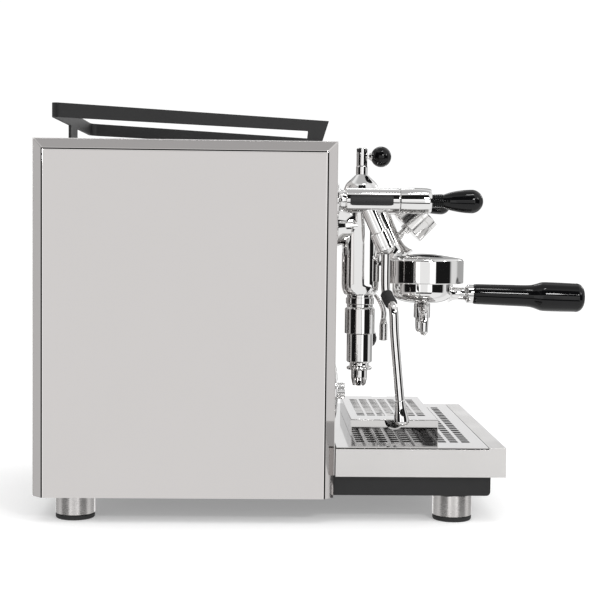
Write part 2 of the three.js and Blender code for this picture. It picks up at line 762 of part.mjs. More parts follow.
function portafilter() {
  const bowl = turned(
    [
      [0, BOWL_BOTTOM],
      [BOWL_RADIUS - 23.5, BOWL_BOTTOM],
      [BOWL_RADIUS - 8.5, BOWL_BOTTOM + 3.5],
      [BOWL_RADIUS - 3, BOWL_BOTTOM + 5.5],
      [BOWL_RADIUS, BOWL_BOTTOM + 9],
      [BOWL_RADIUS, RIM_TOP],
      [BORE_RADIUS, RIM_TOP],
      [BORE_RADIUS, BORE_BOTTOM + 1.5],
      [0, BORE_BOTTOM],
    ],
    28,
  );
  const ears = cut(
    block([-EAR_GROOVE + 1.4, EAR_GROOVE - 1.4], [-EAR_WIDTH / 2, EAR_WIDTH / 2], [EAR_LOW, EAR_HIGH]),
    pin(BORE_RADIUS, EAR_LOW - 1, EAR_HIGH + 1, 28),
  );
  const neck = turned(
    [
      [0, -26],
      [8, -26],
      [6.6, -19],
      [5.6, -17],
      [5.6, -9],
      [7.6, -7],
      [9.4, -5],
      [10.4, -4],
      [10.4, 0],
      [STUD_RADIUS, 0],
      [STUD_RADIUS, STUD_LENGTH],
      [0, STUD_LENGTH],
    ],
    24,
  );
  const lean = FORWARD + HANDLE_DROOP;
  const arm = cut(
    stand(neck, 0, HANDLE_START, HANDLE_HEIGHT, lean),
    stand(pin(BOWL_RADIUS - 1, BOWL_BOTTOM - 20, RIM_TOP + 8, 28), 0, BELL),
  );
  return join(stand(bowl, 0, BELL), stand(ears, 0, BELL), arm);
}
add("portafilter", portafilter(), chrome());

function portafilterHandle() {
  const end = HANDLE_LENGTH;
  const bore = STUD_RADIUS + GAP;
  const profile = [
    [bore, GAP],
    [11, GAP],
    [11.2, 3],
    [11.9, 40],
    [12.2, 62],
    [14, 71],
    [HANDLE_RADIUS, 79],
    ...arc(HANDLE_RADIUS - 9, end - 9, 9, 0, 90, 5),
    [0, end],
    [0, STUD_LENGTH + 2],
    [bore, STUD_LENGTH + 2],
    [bore, GAP],
  ];
  return stand(turned(profile, 18), 0, HANDLE_START, HANDLE_HEIGHT, FORWARD + HANDLE_DROOP);
}
add("portafilter_handle", portafilterHandle(), blackGloss());

function filterBasket() {
  const r = BASKET_RADIUS;
  const rim = RIM_TOP + GAP;
  const low = BORE_BOTTOM + 1.8;
  const profile = [
    [0, low],
    [r - 2, low],
    [r, low + 4],
    [r, rim],
    [r + 3.6, rim],
    [r + 3.6, rim + 0.8],
    [r - 0.6, rim + 0.8],
    [r - 0.6, low + 4.3],
    [r - 2.3, low + 0.7],
    [0, low + 0.7],
  ];
  return stand(turned(profile, 28), 0, BELL);
}
add("filter_basket", filterBasket(), satinSteel());

const SPOUT_SPREAD = 22;
const SPOUT_LOW = BOWL_BOTTOM - 40.2;
const SPOUT_RADIUS = 5.2;

function doubleSpout() {
  const high = BOWL_BOTTOM - GAP;
  const low = BOWL_BOTTOM - 17;
  const boss = turned([[0, low], [7, low], [9.5, low + 3], [9.5, high], [0, high]], 24);
  const branches = [-1, 1].map((sign) => {
    const bend = SPOUT_LOW + 12.2;
    const route = [[0, low + 6], [9, low + 4.5], [SPOUT_SPREAD - 5, bend + 10], [SPOUT_SPREAD, bend]];
    route.push([SPOUT_SPREAD, SPOUT_LOW]);
    const curve = new THREE.CatmullRomCurve3(
      route.map(([x, z]) => new THREE.Vector3(sign * x, -BELL + 1, z)),
    );
    const section = new THREE.Shape();
    section.absarc(0, 0, SPOUT_RADIUS, 0, 2 * Math.PI);
    return new THREE.ExtrudeGeometry(section, { extrudePath: curve, steps: 8, curveSegments: 4 });
  });
  return join(stand(boss, 0, BELL), ...branches);
}
add("double_spout", doubleSpout(), chrome());

// ---------------------------------------------------------------- steam and hot water valves
const NUT_RADIUS = BALL_RADIUS + 3;
const NUT_LENGTH = 20.4;
const NUT_BELOW_BALL = 3.4;
const BRANCH_RADIUS = NUT_RADIUS - 1.7;
const BRANCH_LEAN = Math.PI - BRANCH_TILT;
const NECK_BLACK = 7; // radius of the joystick's black neck
const POCKET = 17; // depth of the collar's pocket for the joystick's ball

// The point on the branch's axis this far above the ball.
const onBranch = (above) => [
  BALL_FORWARD - above * Math.sin(BRANCH_TILT),
  BALL_HEIGHT + above * Math.cos(BRANCH_TILT),
];

function valveBody(x) {
  const pipe = turned([
    [0, -24],
    [PIPE_RADIUS, -24],
    [PIPE_RADIUS, GAP],
    [PIPE_RADIUS + 8, GAP],
    [PIPE_RADIUS + 8, 3],
    [PIPE_RADIUS + 1, 6],
    [PIPE_RADIUS + 1, VALVE_BACK - BODY_DEPTH],
    [VALVE_RADIUS - 1, VALVE_BACK - BODY_DEPTH],
    [VALVE_RADIUS, VALVE_BACK - BODY_DEPTH + 1],
    [VALVE_RADIUS, VALVE_FRONT - BODY_DEPTH],
    [0, VALVE_FRONT - BODY_DEPTH],
  ]);
  const reach = NUT_LENGTH - NUT_BELOW_BALL;
  const branch = turned(
    [
      [0, -24],
      [BRANCH_RADIUS, -24],
      [BRANCH_RADIUS, 0],
      [BRANCH_RADIUS, 3],
      [BRANCH_RADIUS - 2, 3],
      [BRANCH_RADIUS - 2, 7],
      [0, 7],
    ],
    24,
  );
  return join(
    stand(pipe, x, BODY_DEPTH, VALVE_HEIGHT, FORWARD),
    stand(branch, x, ...onBranch(reach + 4), BRANCH_LEAN),
  );
}

function valveCollar(x) {
  const start = GAP;
  const end = COLLAR_LENGTH;
  const pivot = KNOB_PIVOT - VALVE_FRONT;
  const profile = [
    [0, start],
    [VALVE_RADIUS, start],
    [VALVE_RADIUS + 0.5, 8],
    [VALVE_RADIUS + 0.8, 17],
    [VALVE_RADIUS + 0.4, 28],
    [VALVE_RADIUS - 0.6, end],
    [NECK_BLACK + 2.7, end],
    [BALL_RADIUS + RUN, pivot],
    [BALL_RADIUS + RUN, end - POCKET],
    [0, end - POCKET],
  ];
  return stand(turned(profile, 18), x, VALVE_FRONT, VALVE_HEIGHT, FORWARD);
}

function joystick(x) {
  const end = KNOB_REACH;
  const profile = [
    ...arc(0, 0, BALL_RADIUS - 0.2, -90, 0, 4),
    [NECK_BLACK, 3],
    [NECK_BLACK, 20.5],
    [NECK_BLACK + 0.6, 22],
    [9.6, 29],
    [11, 36],
    [12, 45],
    ...arc(0, end - 12.2, 12.2, 5, 90, 6),
  ];
  return stand(turned(profile, 16), x, KNOB_PIVOT, VALVE_HEIGHT, FORWARD);
}

// The union nut that holds the wand's ball against the branch.
function wandNut(x) {
  const top = NUT_LENGTH - NUT_BELOW_BALL;
  const lip = BALL_RADIUS - 0.2;
  const profile = [
    [BRANCH_RADIUS - 2 + GAP, -top],
    [NUT_RADIUS - 0.6, -top],
    [NUT_RADIUS, -top + 0.8],
    [NUT_RADIUS, NUT_BELOW_BALL],
    [lip + 1.4, NUT_BELOW_BALL],
    [lip, 2.6],
    [BALL_RADIUS + RUN, 0.6],
    [BALL_RADIUS + RUN, -top + 9],
    [BRANCH_RADIUS - 2 + GAP, -top + 9],
    [BRANCH_RADIUS - 2 + GAP, -top],
  ];
  return stand(turned(profile, 16), x, BALL_FORWARD, BALL_HEIGHT, BRANCH_LEAN);
}

const wandBall = (x) =>
  stand(turned(arc(0, 0, BALL_RADIUS, -90, 90, 8), 14), x, BALL_FORWARD, BALL_HEIGHT);

for (const [side, x] of [["steam", -VALVE_SIDE], ["water", VALVE_SIDE]]) {
  add(`${side}_valve_body`, valveBody(x), chrome());
  add(`${side}_valve_collar`, valveCollar(x), chrome());
  add(`${side}_knob`, joystick(x), blackGloss());
  add(`${side}_wand_nut`, wandNut(x), chrome());
  add(`${side}_wand_ball`, wandBall(x), chrome());
}

// ---------------------------------------------------------------- steam wand
const WAND_RADIUS = 4.7;
const WAND_START = BALL_HEIGHT - BALL_RADIUS - GAP;
const WAND_OUT = 23; // its straight part hangs this far further left than its ball
// Points of the wand's route: as far forward of its ball, below it and further left as given.
const below = (forward, drop, out = 0) => [BALL_FORWARD + forward, BALL_HEIGHT - drop, out];
const WAND_BEND = [below(1, 47.7, 0.5), below(2.3, 51.7, 5), below(3.9, 55, 10.5), below(5.5, 58.3, 16)];
const WAND_ELBOW = [below(6.6, 63, 20.5), below(7.1, 70, WAND_OUT - 0.6)];
const WAND_MIDDLE = below(8.5, 93.5, WAND_OUT);
const WAND_END = below(14.5, 155, WAND_OUT);
const WAND_LEAN = Math.atan2(WAND_END[0] - WAND_MIDDLE[0], WAND_MIDDLE[1] - WAND_END[1]);
const GRIP_RADIUS = 6.4;
const TIP_RADIUS = 7.6;

const wandTail = [below(0, 27.5), below(0.2, 40), ...WAND_BEND, ...WAND_ELBOW, WAND_MIDDLE, WAND_END];

function steamWand() {
  return bar([[BALL_FORWARD, WAND_START], ...wandTail], -VALVE_SIDE, WAND_RADIUS, 40);
}
add("steam_wand", steamWand(), mirrorSteel());

function steamGrip() {
  const sleeve = bar(WAND_BEND, -VALVE_SIDE, GRIP_RADIUS, 6, 12);
  return cut(sleeve, bar(wandTail, -VALVE_SIDE, WAND_RADIUS + 0.5, 40));
}
add("steam_wand_grip", steamGrip(), rubber());

function steamTip() {
  const profile = [
    [0, GAP],
    [WAND_RADIUS + 0.2, GAP],
    [WAND_RADIUS + 0.6, 6],
    [WAND_RADIUS + 1.7, 12],
    [TIP_RADIUS, 18],
    ...arc(TIP_RADIUS - 4.4, 21.2, 4.4, 0, 90, 3),
    [0, 25.6],
  ];
  const [forward, height] = WAND_END;
  return stand(turned(profile, 20), -VALVE_SIDE - WAND_OUT, forward, height, DOWN - WAND_LEAN);
}
add("steam_tip", steamTip(), chrome());

// ---------------------------------------------------------------- hot water outlet
const [OUTLET_FORWARD, OUTLET_TOP] = below(20.3, 90.5);
const OUTLET_LENGTH = 26.4;
const OUTLET_RADIUS = 5;
const OUTLET_TUBE = 3.4;

function waterWand() {
  const route = [
    [BALL_FORWARD, WAND_START],
    below(0, 33.5),
    below(4.3, 51.5),
    below(15.3, 68.5),
    below(20.3, 81.5),
    [OUTLET_FORWARD, OUTLET_TOP + GAP],
  ];
  return bar(route, VALVE_SIDE, OUTLET_TUBE, 20);
}
add("water_wand", waterWand(), mirrorSteel());

const outlet = turned(
  [
    [0, -OUTLET_LENGTH],
    [OUTLET_RADIUS, -OUTLET_LENGTH],
    [OUTLET_RADIUS, -7],
    [OUTLET_TUBE, 0],
    [0, 0],
  ],
  20,
);
add("water_nozzle", stand(outlet, VALVE_SIDE, OUTLET_FORWARD, OUTLET_TOP), brushedSteel());

// ---------------------------------------------------------------- selector on the front panel
const DIAL_RADIUS = 31.5;

const dialPlate = turned(
  [
    [SHAFT_RADIUS + RUN, GAP],
    [DIAL_RADIUS, GAP],
    [DIAL_RADIUS, 1.5],
    [24, 4.2],
    [12, 5.4],
    [SHAFT_RADIUS + RUN, 5.4],
    [SHAFT_RADIUS + RUN, GAP],
  ],
  28,
);
add("dial_plate", stand(dialPlate, DIAL_SIDE, BODY_DEPTH, DIAL_HEIGHT, FORWARD), chrome());

const powerKnob = turned(
  [[0, -14], [SHAFT_RADIUS, -14], [SHAFT_RADIUS, 5.8], [8.5, 5.8], [8.5, 11.6], [7.6, 12.6], [0, 12.6]],
  24,
);
add("power_knob", stand(powerKnob, DIAL_SIDE, BODY_DEPTH, DIAL_HEIGHT, FORWARD), chrome());

// ---------------------------------------------------------------- drip tray
function dripTray() {
  const box = block([-TRAY_HALF, TRAY_HALF], [TRAY_BACK, TRAY_FRONT], [TRAY_BOTTOM, TRAY_TOP]);
  const lipBack = TRAY_FRONT - TRAY_LIP;
  const basin = block(
    [-TRAY_HALF + SHEET, TRAY_HALF - SHEET],
    [TRAY_BACK + SHEET, TRAY_FRONT - SHEET],
    [TRAY_BOTTOM + SHEET, TRAY_TOP - SHEET],
  );
  const mouth = block(
    [-TRAY_HALF - 1, TRAY_HALF + 1],
    [TRAY_BACK - 1, lipBack],
    [TRAY_TOP - SHEET - GAP, TRAY_TOP + 1],
  );
  return cut(box, basin, mouth);
}
add("drip_tray", dripTray(), satinSteel());

// A sheet with a grid of holes, centred on x = 0. Each cut takes a run of square holes with the narrow
// bridges between them, so rows counts runs and not squares.
function perforated(sheet, grid, firstU, [low, high]) {
  const { hole, pitchX, pitchU, run, rows, columns } = grid;
  const half = ((run - 1) * pitchX + hole) / 2;
  const holes = [];
  for (let row = 0; row < rows; row++) {
    const x = (row - (rows - 1) / 2) * pitchX * run;
    for (let column = 0; column < columns; column++) {
      const u = firstU + column * pitchU;
      holes.push(block([x - half, x + half], [u, u + hole], [low - 1, high + 1]));
    }
  }
  return cut(sheet, ...holes);
}

const TRAY_GRID = { hole: 8.4, pitchX: 12.8, pitchU: 12.1, run: 7, rows: 3, columns: 10 };
const STAND_GRID = { hole: 8.2, pitchX: 11.5, pitchU: 10.85, run: 6, rows: 2, columns: 7 };
const GRID_MARGIN = 14; // from the tray's last column of holes to the sheet's front edge

function dripGrid() {
  const depth = [TRAY_BACK + 0.7, TRAY_FRONT - TRAY_LIP - 0.6];
  const height = [TRAY_TOP - SHEET, TRAY_TOP];
  const sheet = block([-TRAY_HALF, TRAY_HALF], depth, height);
  const { hole, pitchU, columns } = TRAY_GRID;
  const first = depth[1] - GRID_MARGIN - hole - (columns - 1) * pitchU;
  return perforated(sheet, TRAY_GRID, first, height);
}
add("drip_grid", dripGrid(), satinSteel());

const STAND = {
  half: 96.6,
  back: TRAY_BACK + 19.3,
  front: TRAY_BACK + 111.6,
  top: TRAY_TOP + 18,
  skirt: 8,
  sheet: 1.2,
  notch: 9,
};

function cupPlatform() {
  const { half, back, front, top, skirt, sheet, notch } = STAND;
  const low = TRAY_TOP + GAP;
  const middle = (back + front) / 2;
  const outer = block([-half, half], [back, front], [low, top]);
  const inner = block(
    [-half + sheet, half - sheet],
    [back + sheet, front - sheet],
    [low - 1, top - sheet],
  );
  const sides = block([-half - 1, half + 1], [back + sheet, front - sheet], [low - 1, top - skirt]);
  const tongues = [-1, 1].map((sign) => {
    const x = [sign * half, sign * (half - sheet)].sort((a, b) => a - b);
    return common(
      crosspin(notch + 1.6, ...x, middle, top),
      block([x[0] - 1, x[1] + 1], [back, front], [low, top - 1]),
    );
  });
  const scoops = [-1, 1].map((sign) => {
    const x = [sign * (half + 1), sign * (half - 6)].sort((a, b) => a - b);
    return crosspin(notch, ...x, middle, top);
  });
  const shell = cut(join(cut(outer, inner, sides), ...tongues), ...scoops);
  return perforated(shell, STAND_GRID, back + 8.8, [top - sheet, top]);
}
add("cup_platform", cupPlatform(), satinSteel());

const group = new THREE.Group();
group.add(machine);

export default group;
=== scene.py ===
import math

import bmesh
import bpy
from mathutils import Matrix, Vector


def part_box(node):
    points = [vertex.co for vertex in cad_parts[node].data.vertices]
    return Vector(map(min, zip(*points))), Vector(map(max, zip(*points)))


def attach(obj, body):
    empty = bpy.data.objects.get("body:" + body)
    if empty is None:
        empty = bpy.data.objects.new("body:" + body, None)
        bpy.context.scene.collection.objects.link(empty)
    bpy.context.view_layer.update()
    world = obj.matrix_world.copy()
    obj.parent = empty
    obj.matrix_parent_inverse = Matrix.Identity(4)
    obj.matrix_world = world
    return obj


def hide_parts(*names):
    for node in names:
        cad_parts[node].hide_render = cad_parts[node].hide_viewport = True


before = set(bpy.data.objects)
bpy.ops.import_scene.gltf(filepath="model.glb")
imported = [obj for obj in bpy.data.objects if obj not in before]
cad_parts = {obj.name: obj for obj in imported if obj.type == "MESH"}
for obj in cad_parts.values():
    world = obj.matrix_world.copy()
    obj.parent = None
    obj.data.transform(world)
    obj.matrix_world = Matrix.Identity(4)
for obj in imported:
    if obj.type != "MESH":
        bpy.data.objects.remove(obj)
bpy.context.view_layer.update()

MM = 0.001
scene = bpy.context.scene

# ------------------------------------------------------------------ camera
# A long lens to the left of the machine, square to its side and a little below its top edge.
yaw, pitch, roll = 0.0284, -0.0579, 0.0113
ahead = Vector((math.cos(yaw) * math.cos(pitch), -math.sin(yaw) * math.cos(pitch), math.sin(pitch)))
across = Vector((-math.sin(yaw), -math.cos(yaw), 0))
upright = across.cross(ahead)
right = across * math.cos(roll) + upright * math.sin(roll)
up = upright * math.cos(roll) - across * math.sin(roll)
camera = bpy.data.objects.new("camera", bpy.data.cameras.new("camera"))
camera.data.lens = 81.976
camera.data.sensor_width = 36
place = Matrix((right, up, -ahead)).transposed().to_4x4()
camera.matrix_world = Matrix.Translation((-1.5211, 0.0670, 0.3035)) @ place
scene.collection.objects.link(camera)
scene.camera = camera
scene.view_settings.view_transform = "Standard"


# ------------------------------------------------------------------ studio
# A white room with black cards at either side of each viewpoint, which polished metal needs to read
# as metal, a lit white table, and a few soft lights that draw the highlights on black plastic.
def put(tree, kind, inputs=(), **settings):
    """Adds a node. Inputs are {socket: value or another node's output}."""
    made = tree.nodes.new(kind)
    for name, value in settings.items():
        setattr(made, name, value)
    for name, value in dict(inputs).items():
        if isinstance(value, bpy.types.NodeSocket):
            tree.links.new(value, made.inputs[name])
        else:
            made.inputs[name].default_value = value
    return made


def sums(tree, operation, *values):
    return put(tree, "ShaderNodeMath", enumerate(values), operation=operation).outputs[0]


def rise(tree, value, low, high):
    """0 below low, 1 above high and a soft step between."""
    limits = {"Value": value, "From Min": low, "From Max": high}
    return put(tree, "ShaderNodeMapRange", limits, interpolation_type="SMOOTHSTEP").outputs[0]


def band(tree, value, low, high, soft=0.02):
    start = rise(tree, value, low - soft, low + soft)
    stop = rise(tree, value, high - soft, high + soft)
    return sums(tree, "SUBTRACT", start, stop)


def studio_room():
    world = bpy.data.worlds.new("studio")
    world.use_nodes = True
    tree = world.node_tree
    direction = put(tree, "ShaderNodeTexCoord").outputs["Generated"]
    split = put(tree, "ShaderNodeSeparateXYZ", {0: direction})
    x, y, z = split.outputs
    flat = sums(tree, "SUBTRACT", 1.0, sums(tree, "MULTIPLY", z, z))
    level = sums(tree, "SQRT", sums(tree, "MAXIMUM", flat, 1e-4))
    aside = sums(tree, "DIVIDE", sums(tree, "ABSOLUTE", y), level)
    behind = rise(tree, y, -0.05, 0.05)
    tall = sums(tree, "MULTIPLY", behind, band(tree, z, 0.30, 0.72))
    card_height = sums(tree, "MAXIMUM", band(tree, z, -0.27, 0.36), tall)
    cards = sums(tree, "MULTIPLY", band(tree, aside, 0.50, 0.975), card_height)
    facing = sums(tree, "SUBTRACT", 1.0, rise(tree, aside, 0.48, 0.52))
    belts = sums(tree, "ADD", band(tree, z, 0.22, 0.80), band(tree, z, -0.44, -0.28))
    dark = sums(tree, "MAXIMUM", cards, sums(tree, "MULTIPLY", facing, belts))
    beyond = put(
        tree, "ShaderNodeMapRange", {"Value": x, "From Min": 0.05, "From Max": -0.05, "To Min": 0.55}
    )
    dark = sums(tree, "MULTIPLY", dark, beyond.outputs[0])
    ends = rise(tree, aside, 0.955, 0.995)
    end_dim = put(
        tree, "ShaderNodeMapRange",
        {"Value": y, "From Min": -1.0, "From Max": 1.0, "To Min": 0.14, "To Max": 0.30}
    )
    ceiling = sums(tree, "MULTIPLY", rise(tree, z, 0.84, 0.97), 0.45)
    dim = sums(tree, "MAXIMUM", sums(tree, "MULTIPLY", ends, end_dim.outputs[0]), ceiling)
    light = sums(tree, "SUBTRACT", 1.0, dim)
    rim = sums(tree, "MAXIMUM", band(tree, aside, 0.24, 0.49), band(tree, z, 0.10, 0.21))
    rim = sums(tree, "MULTIPLY", sums(tree, "MULTIPLY", rim, facing), band(tree, z, -0.27, 0.21))
    light = sums(tree, "ADD", light, sums(tree, "MULTIPLY", rim, 0.55))
    tone = sums(tree, "MAXIMUM", sums(tree, "MULTIPLY", light, sums(tree, "SUBTRACT", 1.0, dark)), 0.012)
    mirrored = put(tree, "ShaderNodeLightPath").outputs["Is Glossy Ray"]
    shown = put(tree, "ShaderNodeMix", {"Factor": mirrored, 2: 1.04, 3: tone}, data_type="FLOAT")
    tree.links.new(shown.outputs[0], tree.nodes["Background"].inputs["Color"])
    return world


scene.world = studio_room()


def softbox(name, azimuth, elevation, width, height, radiance, distance=1.6):
    """A rectangular light aimed at the machine. Azimuth counts from its left side towards its front."""
    a, e = math.radians(azimuth), math.radians(elevation)
    away = Vector((-math.cos(a) * math.cos(e), -math.sin(a) * math.cos(e), math.sin(e)))
    data = bpy.data.lights.new(name, "AREA")
    data.shape = "RECTANGLE"
    data.size, data.size_y = width, height
    data.energy = radiance * 4 * width * height
    lamp = bpy.data.objects.new(name, data)
    lamp.matrix_world = Matrix.Translation(away * distance + Vector((0, 0, 0.22))) @ (
        away.to_track_quat("Z", "Y").to_matrix().to_4x4()
    )
    scene.collection.objects.link(lamp)


softbox("top_box", 27, 64, 0.38, 0.10, 16)
softbox("low_box", -30, 9, 0.08, 0.08, 22)
softbox("streak_box", 21, 24, 0.26, 0.14, 30)
softbox("front_strip", 62, 24, 0.10, 0.34, 10)
softbox("rear_box", 186, 50, 0.7, 0.12, 5)
softbox("right_strip", 128, 22, 0.12, 0.34, 5)

floor_mesh = bpy.data.meshes.new("table")
bm = bmesh.new()
bmesh.ops.create_circle(bm, cap_ends=True, segments=96, radius=14)
bm.to_mesh(floor_mesh)
bm.free()
table = bpy.data.objects.new("table", floor_mesh)
scene.collection.objects.link(table)
table.visible_glossy = False
white = bpy.data.materials.new("lit_white_table")
white.use_nodes = True
shade = white.node_tree.nodes["Principled BSDF"]
shade.inputs["Base Color"].default_value = (0.80, 0.80, 0.80, 1)
shade.inputs["Roughness"].default_value = 1
shade.inputs["Specular IOR Level"].default_value = 0
shade.inputs["Emission Color"].default_value = (1, 1, 1, 1)
shade.inputs["Emission Strength"].default_value = 0.27
table.data.materials.append(white)


# ------------------------------------------------------------------ base pan
# A shallow tray folded from mild sheet and powder coated black. The whole machine stands on it, and
# it runs forward under the drip tray.
def grain_group():
    """Fine marks left by polishing, brushing, turning or moulding, with broad uneven patches.
    Stretch is how many marks lie in a metre along each axis."""
    tree = bpy.data.node_groups.new("surface_grain", "ShaderNodeTree")
    sockets = [
        ("Position", "Vector"), ("Stretch", "Vector"), ("Relief", "Float"), ("Smooth", "Float"),
        ("Rough", "Float")
    ]
    for name, kind in sockets:
        tree.interface.new_socket(name=name, in_out="INPUT", socket_type=f"NodeSocket{kind}")
    for name, kind in [("Mask", "Float"), ("Roughness", "Float"), ("Normal", "Vector")]:
        tree.interface.new_socket(name=name, in_out="OUTPUT", socket_type=f"NodeSocket{kind}")
    given = put(tree, "NodeGroupInput").outputs
    lines = put(
        tree, "ShaderNodeVectorMath", {0: given["Position"], 1: given["Stretch"]}, operation="MULTIPLY"
    )
    fine = put(tree, "ShaderNodeTexNoise", {"Vector": lines.outputs[0], "Scale": 1.0, "Detail": 3.0})
    patches = put(tree, "ShaderNodeTexNoise", {"Vector": given["Position"], "Scale": 17.0, "Detail": 3.0})
    mask = put(
        tree, "ShaderNodeMix", {"Factor": 0.55, 2: fine.outputs[0], 3: patches.outputs[0]},
        data_type="FLOAT"
    )
    rough = put(
        tree,
        "ShaderNodeMapRange",
        {
            "Value": mask.outputs[0], "From Min": 0.3, "From Max": 0.7, "To Min": given["Smooth"],
            "To Max": given["Rough"]
        },
    )
    bump = put(
        tree, "ShaderNodeBump",
        {"Strength": given["Relief"], "Distance": 0.02 * MM, "Height": fine.outputs[0]}
    )
    result = put(tree, "NodeGroupOutput")
    for name, socket in [
        ("Mask", mask.outputs[0]), ("Roughness", rough.outputs[0]), ("Normal", bump.outputs[0])
    ]:
        tree.links.new(socket, result.inputs[name])
    return tree


surface_grain = grain_group()


def finish(name, color, smooth, rough, stretch, relief, metallic=1.0, shade=0.9, tilt=0.0, **fixed):
    """A material of one colour that varies a little, with the grain that its making leaves."""
    material = bpy.data.materials.new(name)
    material.use_nodes = True
    tree = material.node_tree
    surface = tree.nodes["Principled BSDF"]
    position = put(tree, "ShaderNodeTexCoord").outputs["Object"]
    if tilt:
        position = put(tree, "ShaderNodeMapping", {"Vector": position, "Rotation": (tilt, 0, 0)}).outputs[0]
    grain = put(
        tree,
        "ShaderNodeGroup",
        {"Position": position, "Stretch": stretch, "Relief": relief, "Smooth": smooth, "Rough": rough},
        node_tree=surface_grain,
    )
    darker = tuple(c * shade for c in color)
    mixed = put(
        tree,
        "ShaderNodeMix",
        {"Factor": grain.outputs["Mask"], 6: (*color, 1), 7: (*darker, 1)},
        data_type="RGBA",
    )
    tree.links.new(mixed.outputs[2], surface.inputs["Base Color"])
    tree.links.new(grain.outputs["Roughness"], surface.inputs["Roughness"])
    tree.links.new(grain.outputs["Normal"], surface.inputs["Normal"])
    surface.inputs["Metallic"].default_value = metallic
    for socket, value in fixed.items():
        surface.inputs[socket.replace("_", " ")].default_value = value
    return material


powder_black = finish(
    "powder_black", (0.010, 0.010, 0.0105), 0.45, 0.6, (2600, 2600, 2600), 1.0, metallic=0, shade=0.7
)


def piece(bm, name, material, body, slot, *stands_for, crease=32):
    """A finished piece out of a bmesh, smoothed across edges blunter than crease degrees. Weighted
    normals keep its large faces flat beside their rounded edges."""
    for face in bm.faces:
        face.smooth = True
    mesh = bpy.data.meshes.new(name)
    bm.to_mesh(mesh)
    bm.free()
    mesh.set_sharp_from_angle(angle=math.radians(crease))
    mesh.materials.append(material)
    made = bpy.data.objects.new(name, mesh)
    scene.collection.objects.link(made)
    weighted = made.modifiers.new("weighted_normals", "WEIGHTED_NORMAL")
    weighted.keep_sharp = True
    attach(made, body)
    if stands_for:
        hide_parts(*stands_for)
    return made


def joined_copy(node):
    """A CAD node's shape with its loose triangles joined into whole faces."""
    bm = bmesh.new()
    bm.from_mesh(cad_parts[node].data)
    bmesh.ops.remove_doubles(bm, verts=bm.verts, dist=0.01 * MM)
    bmesh.ops.dissolve_limit(bm, angle_limit=math.radians(1), verts=bm.verts, edges=bm.edges)
    return bm


def round_edges(bm, radius, segments=3, sharper_than=30, only=None):
    """Rounds the edges that turn more than an angle, or those of them that a test picks."""
    bm.normal_update()
    picked = [
        edge
        for edge in bm.edges
        if edge.is_manifold and edge.calc_face_angle() > math.radians(sharper_than) and (
            only is None or only(edge)
        )
    ]
    bmesh.ops.bevel(
        bm,
        geom=picked,
        offset=radius * MM,
        offset_type="OFFSET",
        segments=segments,
        profile=0.5,
        affect="EDGES",
        material=-1,
        clamp_overlap=True,
    )
    return bm


pan = round_edges(joined_copy("base_frame"), 0.7)
piece(pan, "base_pan", powder_black, "chassis", "black_coat", "base_frame")


# ------------------------------------------------------------------ feet
# Four turned stainless feet screwed to the pan, each with a rubber pad pressed into its underside.
def turned(profile, sides=96):
    """A solid turned about Z from [radius, height] points in millimetres, from the bottom up."""
    bm = bmesh.new()
    points = [bm.verts.new((r * MM, 0, z * MM)) for r, z in profile]
    line = [bm.edges.new(pair) for pair in zip(points, points[1:])]
    bmesh.ops.spin(
        bm,
        geom=points + line,
        axis=(0, 0, 1),
        cent=(0, 0, 0),
        angle=math.tau,
        steps=sides,
        use_merge=True,
        use_duplicate=False,
    )
    bmesh.ops.remove_doubles(bm, verts=bm.verts, dist=0.002 * MM)
    bmesh.ops.recalc_face_normals(bm, faces=bm.faces)
    return bm


def stood(bm, at, lean=0.0):
    """Moves a piece made about Z to a point, leaning forward by an angle."""
    matrix = Matrix.Translation(at) @ Matrix.Rotation(lean, 4, "X")
    bmesh.ops.transform(bm, matrix=matrix, verts=bm.verts)
    return bm


FORWARD = math.pi / 2
DOWN = math.pi


def middle(node):
    low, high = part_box(node)
    return (low + high) / 2


def size(node):
    low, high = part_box(node)
    return (high - low) / MM


def arc(r, z, radius, start, stop, steps=6):
    """Profile points round a centre, between two angles in degrees."""
    angles = [math.radians(start + (stop - start) * i / steps) for i in range(steps + 1)]
    return [(r + radius * math.cos(a), z + radius * math.sin(a)) for a in angles]


turned_steel = finish("turned_steel", (0.70, 0.68, 0.67), 0.22, 0.32, (160, 160, 5200), 0.7)
pad_rubber = finish(
    "pad_rubber", (0.018, 0.018, 0.019), 0.62, 0.8, (1500, 1500, 1500), 1.0, metallic=0, shade=0.6
)

for end in ("front", "rear"):
    for side in ("left", "right"):
        node = f"foot_{end}_{side}"
        width, _, tall = size(node)
        r = width / 2
        profile = [(0, 0), (r - 0.7, 0), (r, 0.5), (r, tall - 0.8), (r - 0.6, tall), (0, tall)]
        low = Vector((*middle(node).xy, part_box(node)[0].z))
        piece(stood(turned(profile), low), f"steel_{node}", turned_steel, "chassis", "turned_steel", node)
        node = f"foot_pad_{end}_{side}"
        width, _, tall = size(node)
        r = width / 2
        profile = [(0, 0), *arc(r - 1.8, 1.8, 1.8, -90, 0), (r, tall - 0.4), (r - 0.4, tall), (0, tall)]
        low = Vector((*middle(node).xy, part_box(node)[0].z))
        piece(stood(turned(profile), low), f"rubber_{node}", pad_rubber, "chassis", "rubber", node)


# ------------------------------------------------------------------ side panels
# Mirror-polished stainless sheet, folded at 45 degrees along its top, front and back, with the face
# let into the folded rim: a fine seam with rounded corners runs round it.
mirror_steel = finish("mirror_steel", (0.640, 0.618, 0.610), 0.035, 0.075, (900, 900, 14), 0.05, shade=0.97)
FOLD = 1.7
SEAM_INSET = 0.4
SEAM_WIDTH = 0.55
SEAM_DEPTH = 0.2
SEAM_CORNER = 3


